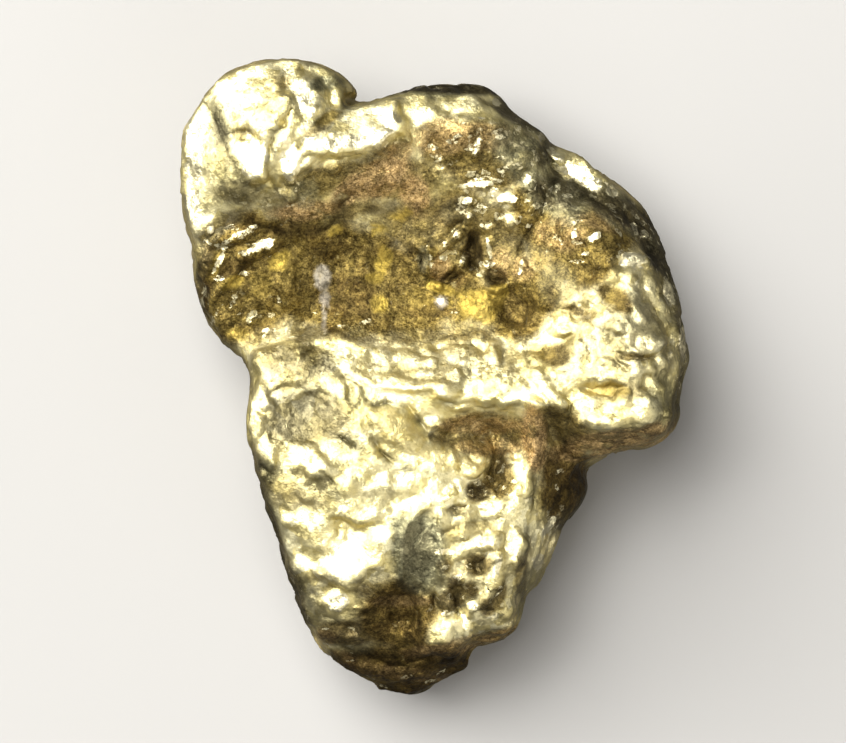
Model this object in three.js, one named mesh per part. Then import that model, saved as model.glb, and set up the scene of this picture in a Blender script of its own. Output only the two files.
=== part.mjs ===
import * as THREE from "three";

// A water-worn nugget of native gold, one solid lump.
// It lies flat, long axis along Y, the knob at the upper left (-X, +Y), the wide lobe on the right (+X)
// and the wedge-shaped body running down to -Y. A shallow basin lies between the knob and the lobe.
// Millimetres, +Z up, origin under the middle of the lump on the plane that it rests on.

// Size of the lump.
const LENGTH = 20.0; // along Y
const WIDTH = 15.97; // along X

// Mesh density: cells across the top and the underside, rows of cells down the rim,
// and how far out (share of the way from CENTRE to the outline) the rim begins.
const CELLS_ACROSS = 42;
const ROWS_DOWN_RIM = 6;
const RIM_STARTS = 0.9;

// Outline seen from above, clockwise from the top of the knob.
const OUTLINE = [
  [-5.087, 10], [-4.268, 9.969], [-3.559, 9.795], [-3.008, 9.528], [-2.661, 9.213], [-2.504, 8.898],
  [-2.646, 8.693], [-2.346, 8.677], [-1.748, 8.835], [-1.118, 8.992], [-0.488, 9.181], [0.457, 9.244],
  [1.402, 9.181], [1.795, 9.008], [2.079, 8.772], [2.315, 8.425], [2.74, 8.063], [3.291, 7.748],
  [3.685, 7.354], [4.236, 7.118], [4.866, 6.882], [5.417, 6.488], [5.89, 6.016], [6.362, 5.543],
  [6.756, 4.992], [7.071, 4.362], [7.307, 3.732], [7.512, 2.945], [7.732, 2.157], [7.921, 1.37],
  [7.984, 0.661], [7.827, 0.11], [7.701, -0.52], [7.638, -1.15], [7.417, -1.654], [6.992, -2.016],
  [6.52, -2.22], [5.811, -2.378], [5.26, -2.567], [4.866, -2.756], [4.646, -2.961], [4.74, -3.433],
  [4.551, -3.906], [4.079, -4.488], [3.795, -5.165], [3.575, -5.874], [3.291, -6.425], [2.945, -6.74],
  [2.819, -7.055], [2.661, -7.606], [2.378, -8.047], [1.874, -8.268], [1.276, -8.457], [1.055, -8.787],
  [0.976, -9.102], [0.535, -9.417], [-0.016, -9.78], [-0.646, -10], [-1.276, -9.937], [-1.906, -9.78],
  [-2.457, -9.496], [-3.008, -9.102], [-3.48, -8.709], [-3.953, -8.157], [-4.268, -7.606], [-4.425, -7.055],
  [-4.661, -6.425], [-4.866, -5.717], [-5.055, -4.929], [-5.291, -4.142], [-5.528, -3.433], [-5.764, -2.724],
  [-5.89, -1.937], [-5.906, -1.15], [-5.843, -0.362], [-5.89, 0.142], [-6.094, 0.457], [-6.441, 0.772],
  [-6.787, 1.055], [-7.102, 1.528], [-7.339, 2.236], [-7.543, 3.024], [-7.701, 3.732], [-7.827, 4.441],
  [-7.921, 5.15], [-7.984, 5.937], [-7.969, 6.882], [-7.858, 7.669], [-7.654, 8.22], [-7.339, 8.693],
  [-6.945, 9.087], [-6.551, 9.48], [-6.079, 9.748], [-5.606, 9.921],
];

// The point that every line of the outline can be seen from.
const CENTRE = [-0.551, 1.087];

// Heights of the upper surface above the resting plane: [x, y, z].
const UPPER = [
  [-5.213, 9.685, 6.457], [-6.535, 9.024, 6.425], [-5.685, 8.457, 7.087], [-4.583, 8.772, 7.181], [-3.48, 9.244, 6.457],
  [-3.008, 8.614, 6.457], [-3.701, 9.654, 6.236], [-2.756, 9.339, 5.669], [-4.268, 7.984, 7.402], [-5.465, 7.669, 7.496],
  [-6.945, 8.142, 6.457], [-7.323, 6.882, 6.299], [-7.795, 7.197, 5.858], [-7.827, 5.622, 5.606], [-6.63, 6.882, 6.992],
  [-7.417, 5.307, 5.984], [-6.157, 5.937, 7.087], [-5.465, 6.315, 7.307], [-4.362, 6.315, 7.244], [-3.323, 7.197, 7.307],
  [-2.063, 7.669, 7.181], [-1.276, 8.299, 6.772], [-0.173, 8.457, 6.457], [0.929, 8.394, 6.394], [2.031, 7.984, 6.142],
  [2.976, 6.882, 5.827], [3.449, 5.937, 5.606], [-0.173, 9.024, 4.724], [1.717, 8.835, 4.567], [2.976, 7.89, 4.252],
  [4.236, 6.882, 4.252], [5.181, 6.094, 4.409], [6.441, 4.835, 4.409], [7.228, 3.417, 4.409], [7.701, 1.528, 4.567],
  [-0.173, 7.512, 6.457], [1.402, 7.197, 6.299], [-1.118, 6.724, 6.457], [-2.693, 6.094, 6.457], [-4.268, 5.465, 6.457],
  [0.457, 5.937, 5.984], [2.031, 5.937, 5.89], [2.976, 5.15, 5.732], [-6.472, 4.677, 5.984], [-4.898, 4.047, 5.606],
  [-3.008, 4.047, 5.417], [-1.118, 4.362, 5.417], [0.457, 4.52, 5.417], [-6.472, 2.787, 5.512], [-4.583, 2.472, 5.291],
  [-2.693, 2.157, 5.197], [-1.118, 2.157, 5.197], [0.457, 2.315, 5.134], [2.031, 2.472, 5.417], [2.661, 1.685, 5.669],
  [3.291, 2.472, 6.079], [-5.843, 1.37, 5.039], [-4.268, 1.37, 5.197], [-7.417, 3.732, 5.512], [-6.945, 2.157, 5.197],
  [-5.528, 0.583, 5.827], [-4.268, 0.898, 6.142], [-2.693, 0.898, 6.142], [-2.693, 0.11, 6.677], [-1.118, 0.268, 6.457],
  [0.142, 0.898, 5.984], [0.142, -0.205, 6.992], [2.031, 0.898, 6.142], [2.031, -0.205, 7.087], [3.291, 0.898, 6.457],
  [3.606, -0.205, 7.307], [4.236, -0.992, 7.087], [3.921, 3.417, 5.984], [3.921, 2.157, 6.457], [4.394, 4.52, 6.299],
  [5.181, 4.205, 6.488], [5.181, 2.472, 6.992], [6.441, 3.417, 6.299], [6.441, 1.843, 7.181], [5.181, 0.898, 7.307],
  [6.441, 0.268, 7.496], [5.181, -0.677, 7.496], [6.756, -0.677, 7.307], [5.496, -1.465, 7.496], [6.756, -1.307, 7.244],
  [4.488, -1.433, 7.244], [7.386, 0.898, 6.457], [7.228, -0.677, 6.299], [5.811, -1.685, 6.772], [7.071, -1.559, 6.457],
  [5.181, -2.094, 6.236], [-5.213, -0.677, 6.614], [-3.953, -1.15, 6.394], [-2.693, -0.992, 7.087], [-1.118, -1.622, 6.992],
  [0.142, -1.15, 6.677], [1.717, -1.685, 5.984], [2.976, -1.622, 6.457], [3.921, -1.937, 5.984], [4.394, -2.409, 5.354],
  [-4.898, -2.252, 6.772], [-3.323, -2.882, 7.087], [-1.118, -3.197, 6.992], [0.142, -2.724, 6.929], [1.717, -3.039, 6.142],
  [2.819, -3.512, 6.457], [3.606, -3.512, 5.512], [4.236, -3.512, 4.409], [-4.268, -3.827, 6.677], [-2.693, -4.457, 6.992],
  [-1.118, -4.457, 6.992], [0.457, -4.142, 6.772], [2.031, -4.457, 6.614], [3.134, -4.772, 5.827], [3.606, -5.402, 4.724],
  [-4.268, -5.717, 5.984], [-2.693, -5.559, 6.677], [-0.803, -5.402, 6.772], [0.772, -5.717, 6.677], [2.189, -5.717, 6.457],
  [2.976, -6.189, 5.197], [-3.638, -6.976, 5.827], [-2.063, -6.976, 5.984], [-0.488, -6.976, 5.984], [1.087, -6.976, 6.236],
  [2.189, -7.449, 5.669], [-3.008, -8.079, 5.039], [-1.433, -8.079, 5.039], [0.142, -8.079, 5.512], [1.402, -8.079, 5.197],
  [-2.063, -9.024, 3.937], [-0.488, -9.339, 3.937], [0.614, -9.181, 3.937],
];

// Heights of the underside. Where they are below zero the worn foot is cut flat by the resting plane.
const LOWER = [
  [-4.268, 5.78, -0.252], [4.551, 1.843, -0.252], [-1.591, -5.559, -0.252], [-3.701, 5.465, -0.189], [-4.646, 5.244, -0.157],
  [3.984, 1.276, -0.157], [4.929, 2.472, -0.189], [-2, -6.189, -0.157], [-1.055, -4.929, -0.157], [-0.488, 5.622, 0.378],
  [-2.378, 3.732, 0.315], [-0.173, 2.472, 0.441], [2.031, 3.732, 0.315], [2.031, 4.992, 0.504], [6.441, 3.732, 0.315],
  [5.811, -0.047, 0.378], [2.976, -0.677, 0.441], [0.457, -0.047, 0.504], [-1.748, -0.677, 0.378], [-3.638, 1.213, 0.378],
  [-5.843, 4.047, 0.252], [-6.472, 6.252, 0.378], [-5.213, 8.457, 0.567], [0.457, 7.827, 0.63], [-3.953, -2.252, 0.441],
  [-3.323, -3.827, 0.252], [0.457, -2.882, 0.441], [1.402, -5.087, 0.441], [-0.173, -7.606, 0.504], [-2.693, -7.606, 0.441],
  [-0.488, -8.866, 0.756], [2.661, -3.827, 0.693],
];

// The rim, at places round the outline: [x, y, height of the widest line, rounding above it, rounding below it].
const RIM = [
  [-5.213, 10, 4.094, 0.472, 2.772], [-6.945, 9.244, 4.094, 0.472, 2.772], [-4.268, 9.969, 4.094, 0.472, 2.772],
  [-3.165, 9.559, 3.969, 0.472, 2.772], [-7.89, 7.197, 4.031, 0.472, 2.898], [-7.921, 5.622, 3.969, 0.472, 2.898],
  [-7.417, 2.787, 3.465, 0.693, 2.677], [-6.724, 1.055, 3.307, 0.756, 2.362], [-5.937, 0.362, 3.307, 0.504, 2.205],
  [-5.906, -1.307, 3.717, 0.472, 2.646], [-5.465, -3.512, 3.307, 0.472, 2.52], [-4.898, -5.717, 3.15, 0.504, 2.52],
  [-3.953, -8.236, 2.835, 0.819, 2.52], [-2.693, -9.339, 2.52, 1.071, 2.362], [-0.646, -10, 2.205, 1.26, 2.205],
  [1.087, -8.709, 2.52, 0.819, 2.205], [2.504, -8.236, 2.835, 0.63, 2.205], [3.291, -6.661, 2.677, 0.819, 2.205],
  [3.921, -4.772, 2.52, 0.882, 2.205], [4.646, -3.197, 2.268, 0.693, 1.89], [6.441, -2.252, 3.465, 0.819, 2.362],
  [5.339, -2.567, 3.307, 0.882, 2.362], [7.701, -1.15, 3.622, 0.567, 2.52], [7.984, 0.74, 3.465, 0.472, 2.52],
  [7.386, 3.417, 3.15, 0.472, 2.52], [6.441, 5.15, 2.992, 0.504, 2.52], [5.181, 6.504, 2.992, 0.472, 2.52],
  [3.606, 7.354, 2.992, 0.472, 2.52], [2.031, 8.866, 3.15, 0.472, 2.52], [-0.173, 9.213, 2.992, 0.472, 2.362],
  [-2.22, 8.803, 3.15, 0.472, 2.205], [-2.693, 9.402, 3.307, 0.472, 2.362],
];

// Bumps and dents of the upper surface: [x, y, radius, radius, turn in degrees, height].
const HILLS = [
  [-6.283, 8.992, 0.567, 0.504, 0, 0.157], [-3.323, 9.024, 0.63, 0.504, -30, -0.189], [2.661, 2.283, 0.693, 0.567, -30, -0.283],
  [-0.803, 2.787, 0.504, 0.504, 0, -0.157], [-2.693, 3.669, 0.756, 0.504, 0, -0.157], [-4.268, 2.945, 0.819, 0.567, 0, 0.157],
  [1.087, 2.315, 0.63, 0.504, 10, 0.189], [-3.165, 2.157, 0.63, 0.504, 0, 0.126], [-4.016, -1.307, 1.26, 0.882, 20, -0.252],
  [-1.181, -1.654, 1.386, 0.63, -38, 0.283], [-5.276, -3.197, 0.504, 0.504, 0, -0.22], [3.795, -1.937, 0.504, 0.504, 0, -0.283],
  [0.961, -2.724, 0.535, 0.504, 20, 0.315], [-0.551, -5.024, 0.756, 1.071, 10, -0.346], [-4.11, -5.717, 0.504, 0.504, 0, 0.22],
  [-3.071, -6.945, 0.504, 0.504, 30, 0.252], [2.378, -5.244, 0.535, 0.63, 0, 0.315], [0.142, -7.575, 0.567, 0.63, 0, 0.315],
  [-1.244, -7.071, 0.945, 1.071, 0, -0.472], [4.866, 4.803, 1.134, 0.63, 10, 0.252], [5.559, 2.504, 0.504, 0.504, 0, -0.409],
  [3.669, 0.835, 0.535, 0.504, 0, -0.378],
];

// Folds (height above 0) and grooves (below 0): [half width, height, path].
const RIDGES = [
  [0.598, -0.318, [[-7.134, 8.677], [-6.85, 7.984], [-6.598, 7.197], [-6.409, 6.409], [-6.157, 5.622]]],
  [0.598, 0.409, [[-4.646, 6.063], [-4.646, 6.693], [-4.394, 7.102], [-3.89, 7.323], [-3.165, 7.228], [-2.378, 7.323], [-1.622, 7.669], [-1.181, 8.331]]],
  [0.598, -0.339, [[-2.787, 8.394], [-3.291, 7.921], [-3.858, 7.638], [-4.173, 7.228]]],
  [0.598, 0.263, [[-2.441, 8.614], [-1.118, 8.551], [0.142, 8.488], [1.402, 8.425], [2.189, 8.047], [2.819, 7.323], [3.291, 6.504], [3.48, 5.622]]],
  [0.598, 0.191, [[-0.677, 9.15], [0.457, 9.087], [1.654, 8.866], [2.189, 8.425], [3.134, 7.858], [3.921, 7.039], [5.181, 6.378], [6.126, 5.559], [6.913, 4.362], [7.386, 3.26], [7.732, 1.843]]],
  [0.598, -0.159, [[1.087, 8.74], [2.189, 8.646], [3.291, 7.512], [4.079, 6.252], [5.496, 5.465], [6.598, 4.205]]],
  [0.598, 0.22, [[-4.268, 5.15], [-3.323, 5.276], [-2.693, 5.843], [-1.748, 6.22], [-0.961, 6.693], [-0.362, 6.063], [-0.173, 5.465]]],
  [0.598, -0.13, [[-5.465, 4.803], [-4.583, 4.52], [-3.638, 4.709], [-2.913, 5.37], [-2.189, 5.685]]],
  [0.598, 0.13, [[-7.323, 3.102], [-6.661, 3.984], [-5.843, 4.614], [-5.024, 4.866]]],
  [0.598, 0.149, [[-6.409, 3.606], [-5.654, 4.173], [-4.898, 4.173]]],
  [0.614, 0.283, [[-5.748, 0.394], [-5.055, 0.803], [-4.268, 1.024], [-3.323, 1.244], [-2.504, 1.118]]],
  [0.598, 0.17, [[-2.252, 0.016], [-1.433, -0.205], [-0.646, -0.268], [0.142, -0.205]]],
  [0.598, 0.315, [[0.142, -0.551], [1.402, -0.646], [2.661, -0.677], [3.543, -0.803]]],
  [0.598, -0.111, [[-5.465, -0.583], [-4.74, -0.236], [-3.795, -0.299], [-3.008, -0.709], [-2.63, -1.465]]],
  [0.598, 0.17, [[-5.622, -0.299], [-5.685, -0.929], [-5.559, -1.622], [-5.339, -2.063]]],
  [0.598, 0.263, [[-4.772, -2.063], [-4.268, -2.252], [-3.701, -2.693], [-3.291, -2.85]]],
  [0.655, -0.756, [[0.52, -1.591], [1.244, -1.528], [2.031, -1.622], [2.724, -1.874]]],
  [0.598, 0.286, [[3.165, -1.055], [3.165, -1.874], [3.008, -2.819]]],
  [0.598, -0.149, [[0.142, -4.803], [1.087, -4.551], [2.094, -4.205]]],
  [0.598, 0.167, [[-1.307, -3.921], [-1.496, -4.52], [-2, -5.087]]],
  [0.598, -0.13, [[-3.449, -7.354], [-2.693, -7.732], [-2, -7.512]]],
  [0.598, 0.263, [[-3.165, -8.709], [-2.22, -8.898], [-1.118, -9.37], [0.142, -9.37], [1.087, -8.961]]],
  [0.598, -0.263, [[-2.85, -8.457], [-1.748, -8.709], [-0.803, -8.929], [0.457, -8.835]]],
  [0.598, -0.191, [[3.984, 5.213], [3.165, 4.551], [2.724, 3.669]]],
  [0.598, 0.215, [[3.291, 1.339], [3.921, 1.622], [4.394, 2.031]]],
  [0.598, 0.191, [[5.874, 1.78], [6.441, 2], [6.913, 1.496], [7.071, 0.898]]],
  [0.598, 0.13, [[4.709, 1.055], [5.181, 0.835], [5.559, 1.055]]],
  [0.598, 0.263, [[4.331, -0.898], [5.181, -1.181], [6, -1.087], [6.819, -0.677]]],
  [0.598, 0.111, [[4.299, -2.409], [5.496, -2.22], [6.441, -1.969], [7.228, -1.465]]],
];

// Facets: [x, y, radius, radius, turn in degrees, rise along X, rise along Y].
const FACETS = [
  [-2.63, -5.402, 1.134, 0.882, 0, 0.28, -0.22],
];

// Smooth surface through scattered heights (thin plate), lightly smoothed.
function thinPlate(points, smoothing) {
  const n = points.length,
    size = n + 3;
  const kernel = (d2) => 0.5 * d2 * Math.log(d2 + 1e-9);
  const m = Array.from({ length: size }, () => new Float64Array(size + 1));
  for (let i = 0; i < n; i++) {
    const [xi, yi, zi] = points[i];
    for (let j = 0; j < n; j++) {
      const dx = xi - points[j][0],
        dy = yi - points[j][1];
      m[i][j] = kernel(dx * dx + dy * dy);
    }
    m[i][i] += smoothing;
    m[i][n] = m[n][i] = 1;
    m[i][n + 1] = m[n + 1][i] = xi;
    m[i][n + 2] = m[n + 2][i] = yi;
    m[i][size] = zi;
  }
  for (let c = 0; c < size; c++) {
    let pivot = c;
    for (let r = c + 1; r < size; r++)
      if (Math.abs(m[r][c]) > Math.abs(m[pivot][c])) pivot = r;
    [m[c], m[pivot]] = [m[pivot], m[c]];
    for (let r = 0; r < size; r++) {
      if (r === c) continue;
      const k = m[r][c] / m[c][c];
      if (k) for (let q = c; q <= size; q++) m[r][q] -= k * m[c][q];
    }
  }
  const w = m.map((row, i) => row[size] / row[i]);
  return (x, y) => {
    let z = w[n] + w[n + 1] * x + w[n + 2] * y;
    for (let i = 0; i < n; i++) {
      const dx = x - points[i][0],
        dy = y - points[i][1];
      z += w[i] * kernel(dx * dx + dy * dy);
    }
    return z;
  };
}

// A value that changes smoothly round the rim.
function rimValue(x, y, column) {
  let sum = 0,
    weight = 0;
  for (const place of RIM) {
    const d2 = (x - place[0]) ** 2 + (y - place[1]) ** 2 + 0.9;
    const w = 1 / (d2 * d2);
    sum += w * place[column];
    weight += w;
  }
  return sum / weight;
}

function distanceToPath(x, y, path, closed) {
  let best = Infinity;
  const last = closed ? path.length : path.length - 1;
  for (let i = 0; i < last; i++) {
    const a = path[i],
      b = path[(i + 1) % path.length];
    const dx = b.x - a.x,
      dy = b.y - a.y;
    const t = THREE.MathUtils.clamp(
      ((x - a.x) * dx + (y - a.y) * dy) / (dx * dx + dy * dy + 1e-12),
      0,
      1,
    );
    best = Math.min(best, Math.hypot(x - a.x - t * dx, y - a.y - t * dy));
  }
  return best;
}

const outline = new THREE.CatmullRomCurve3(
  OUTLINE.map(([x, y]) => new THREE.Vector3(x, y, 0)),
  true,
  "catmullrom",
  0.5,
);
outline.arcLengthDivisions = 1600;
const outlinePath = outline.getSpacedPoints(400).slice(0, -1);

const folds = RIDGES.map(([halfWidth, height, path]) => ({
  halfWidth,
  height,
  path: new THREE.SplineCurve(
    path.map(([x, y]) => new THREE.Vector2(x, y)),
  ).getPoints(path.length * 4),
}));

// Upper surface before the rim rounds it off.
const upperBase = thinPlate(UPPER, 0.03);
function upper(x, y) {
  let z = upperBase(x, y);
  for (const [hx, hy, rx, ry, turn, height] of HILLS) {
    const a = THREE.MathUtils.degToRad(turn);
    const dx = x - hx,
      dy = y - hy;
    const u = (dx * Math.cos(a) + dy * Math.sin(a)) / rx,
      v = (-dx * Math.sin(a) + dy * Math.cos(a)) / ry;
    const q = Math.max(0, 1 - (u * u + v * v) / 1.8);
    z += height * q * q;
  }
  for (const fold of folds) {
    const d = distanceToPath(x, y, fold.path, false) / fold.halfWidth;
    const q = Math.max(0, 1 - d * d);
    z += fold.height * q * q;
  }
  for (const [fx, fy, rx, ry, turn, riseX, riseY] of FACETS) {
    const a = THREE.MathUtils.degToRad(turn);
    const dx = x - fx,
      dy = y - fy;
    const u = (dx * Math.cos(a) + dy * Math.sin(a)) / rx,
      v = (-dx * Math.sin(a) + dy * Math.cos(a)) / ry;
    let q = Math.max(0, 1 - (u * u + v * v) / 1.6);
    q = q * q * (3 - 2 * q);
    z += (riseX * dx + riseY * dy) * q;
  }
  return z;
}
const lower = thinPlate(LOWER, 0.02);

// Height of a point of the skin over the plan position (x, y), on the upper or the lower side.
function skin(x, y, above) {
  const waist = rimValue(x, y, 2);
  const inside = distanceToPath(x, y, outlinePath, true);
  if (above) {
    const q = THREE.MathUtils.clamp(inside / rimValue(x, y, 3), 0, 1);
    const round = Math.sqrt(1 - (1 - q) ** 2);
    return waist + (Math.max(upper(x, y), waist + 0.3) - waist) * round;
  }
  const q = THREE.MathUtils.clamp(inside / rimValue(x, y, 4), 0, 1);
  const round = Math.sqrt(1 - (1 - q) ** 2);
  return Math.max(0, waist - (waist - lower(x, y)) * round);
}

// A gridded block drawn out to the outline: its top and bottom faces become the upper side and the
// underside, its four side faces the rounded rim, and its mid-height line the widest line.
const lump = new THREE.BoxGeometry(
  2,
  2,
  2,
  CELLS_ACROSS,
  CELLS_ACROSS,
  ROWS_DOWN_RIM,
);
lump.deleteAttribute("normal");
lump.deleteAttribute("uv");
lump.clearGroups();

// Share of the way round a square, clockwise from its upper left corner.
function roundSquare(u, v) {
  const r = Math.max(Math.abs(u), Math.abs(v));
  if (r < 1e-9) return 0;
  const s = u / r,
    t = v / r;
  if (t > 1 - 1e-9) return (1 + s) / 8;
  if (s > 1 - 1e-9) return (3 - t) / 8;
  if (t < -1 + 1e-9) return (5 - s) / 8;
  return (7 + t) / 8;
}

const position = lump.getAttribute("position");
const placed = new Map();
for (let i = 0; i < position.count; i++) {
  const u = Math.round(((position.getX(i) + 1) / 2) * CELLS_ACROSS),
    v = Math.round(((position.getY(i) + 1) / 2) * CELLS_ACROSS),
    w = Math.round(((position.getZ(i) + 1) / 2) * ROWS_DOWN_RIM);
  const key = `${u},${v},${w}`;
  if (!placed.has(key)) {
    const a = (2 * u) / CELLS_ACROSS - 1,
      b = (2 * v) / CELLS_ACROSS - 1,
      level = (2 * w) / ROWS_DOWN_RIM - 1;
    const ring = Math.max(Math.abs(a), Math.abs(b));
    const edge = outline.getPointAt(roundSquare(a, b) % 1);
    let reach = ring * RIM_STARTS;
    if (ring > 1 - 1e-9)
      reach =
        1 - (1 - RIM_STARTS) * (1 - Math.cos((Math.abs(level) * Math.PI) / 2));
    const x = CENTRE[0] + reach * (edge.x - CENTRE[0]),
      y = CENTRE[1] + reach * (edge.y - CENTRE[1]);
    const z =
      w * 2 === ROWS_DOWN_RIM ? rimValue(x, y, 2) : skin(x, y, level > 0);
    placed.set(key, [x, y, z]);
  }
  position.setXYZ(i, ...placed.get(key));
}

// Each cell is split along its shorter diagonal.
const index = lump.getIndex();
const corner = (i) => new THREE.Vector3().fromBufferAttribute(position, i);
for (let i = 0; i < index.count; i += 6) {
  const a = index.getX(i),
    b = index.getX(i + 1),
    d = index.getX(i + 2),
    c = index.getX(i + 4);
  if (corner(a).distanceTo(corner(c)) < corner(b).distanceTo(corner(d)))
    [a, b, c, a, c, d].forEach((v, k) => index.setX(i + k, v));
}

const gold = new THREE.MeshStandardMaterial({
  color: 0xd9b45a,
  roughness: 0.35,
  metalness: 1.0,
});

const nugget = new THREE.Mesh(lump, gold);
nugget.name = "gold_nugget";

const root = new THREE.Group();
root.add(nugget);

// Centre the lump on its stated length and width.
const box = new THREE.Box3().setFromObject(nugget);
nugget.geometry.translate(
  -(box.min.x + box.max.x) / 2,
  -(box.min.y + box.max.y) / 2,
  0,
);
const size = box.getSize(new THREE.Vector3());
nugget.geometry.scale(WIDTH / size.x, LENGTH / size.y, 1);

export default root;
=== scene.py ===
import math

import bpy
import numpy as np
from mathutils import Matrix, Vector


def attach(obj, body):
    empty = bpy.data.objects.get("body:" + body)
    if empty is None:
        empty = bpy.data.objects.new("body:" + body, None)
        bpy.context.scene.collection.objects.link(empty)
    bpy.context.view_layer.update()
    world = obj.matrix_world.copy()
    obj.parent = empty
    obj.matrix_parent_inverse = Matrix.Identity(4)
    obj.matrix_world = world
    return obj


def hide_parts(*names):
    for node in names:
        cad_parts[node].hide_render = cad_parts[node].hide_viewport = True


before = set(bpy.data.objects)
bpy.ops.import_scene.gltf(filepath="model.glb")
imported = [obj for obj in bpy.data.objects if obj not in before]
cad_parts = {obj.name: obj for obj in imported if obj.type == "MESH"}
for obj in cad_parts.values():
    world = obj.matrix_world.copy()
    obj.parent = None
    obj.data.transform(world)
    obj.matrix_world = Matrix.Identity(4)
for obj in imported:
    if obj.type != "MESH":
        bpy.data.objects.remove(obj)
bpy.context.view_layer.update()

# A water-worn nugget of native gold, one lump. Lengths below are millimetres in the row frame;
# the finished mesh is scaled to metres.

# ---------------------------------------------------------------- shape data
OUTLINE = [
    (-5.087, 10), (-4.268, 9.969), (-3.559, 9.795), (-3.008, 9.528), (-2.661, 9.213), (-2.504, 8.898),
    (-2.646, 8.693), (-2.346, 8.677), (-1.748, 8.835), (-1.118, 8.992), (-0.488, 9.181), (0.457, 9.244),
    (1.402, 9.181), (1.795, 9.008), (2.079, 8.772), (2.315, 8.425), (2.74, 8.063), (3.291, 7.748),
    (3.685, 7.354), (4.236, 7.118), (4.866, 6.882), (5.417, 6.488), (5.89, 6.016), (6.362, 5.543),
    (6.756, 4.992), (7.071, 4.362), (7.307, 3.732), (7.512, 2.945), (7.732, 2.157), (7.921, 1.37),
    (7.984, 0.661), (7.827, 0.11), (7.701, -0.52), (7.638, -1.15), (7.417, -1.654), (6.992, -2.016),
    (6.52, -2.22), (5.811, -2.378), (5.26, -2.567), (4.866, -2.756), (4.646, -2.961), (4.74, -3.433),
    (4.551, -3.906), (4.079, -4.488), (3.795, -5.165), (3.575, -5.874), (3.291, -6.425), (2.945, -6.74),
    (2.819, -7.055), (2.661, -7.606), (2.378, -8.047), (1.874, -8.268), (1.276, -8.457), (1.055, -8.787),
    (0.976, -9.102), (0.535, -9.417), (-0.016, -9.78), (-0.646, -10), (-1.276, -9.937), (-1.906, -9.78),
    (-2.457, -9.496), (-3.008, -9.102), (-3.48, -8.709), (-3.953, -8.157), (-4.268, -7.606), (-4.425, -7.055),
    (-4.661, -6.425), (-4.866, -5.717), (-5.055, -4.929), (-5.291, -4.142), (-5.528, -3.433), (-5.764, -2.724),
    (-5.89, -1.937), (-5.906, -1.15), (-5.843, -0.362), (-5.89, 0.142), (-6.094, 0.457), (-6.441, 0.772),
    (-6.787, 1.055), (-7.102, 1.528), (-7.339, 2.236), (-7.543, 3.024), (-7.701, 3.732), (-7.827, 4.441),
    (-7.921, 5.15), (-7.984, 5.937), (-7.969, 6.882), (-7.858, 7.669), (-7.654, 8.22), (-7.339, 8.693),
    (-6.945, 9.087), (-6.551, 9.48), (-6.079, 9.748), (-5.606, 9.921),
]
CENTRE_H = 1.0
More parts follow.
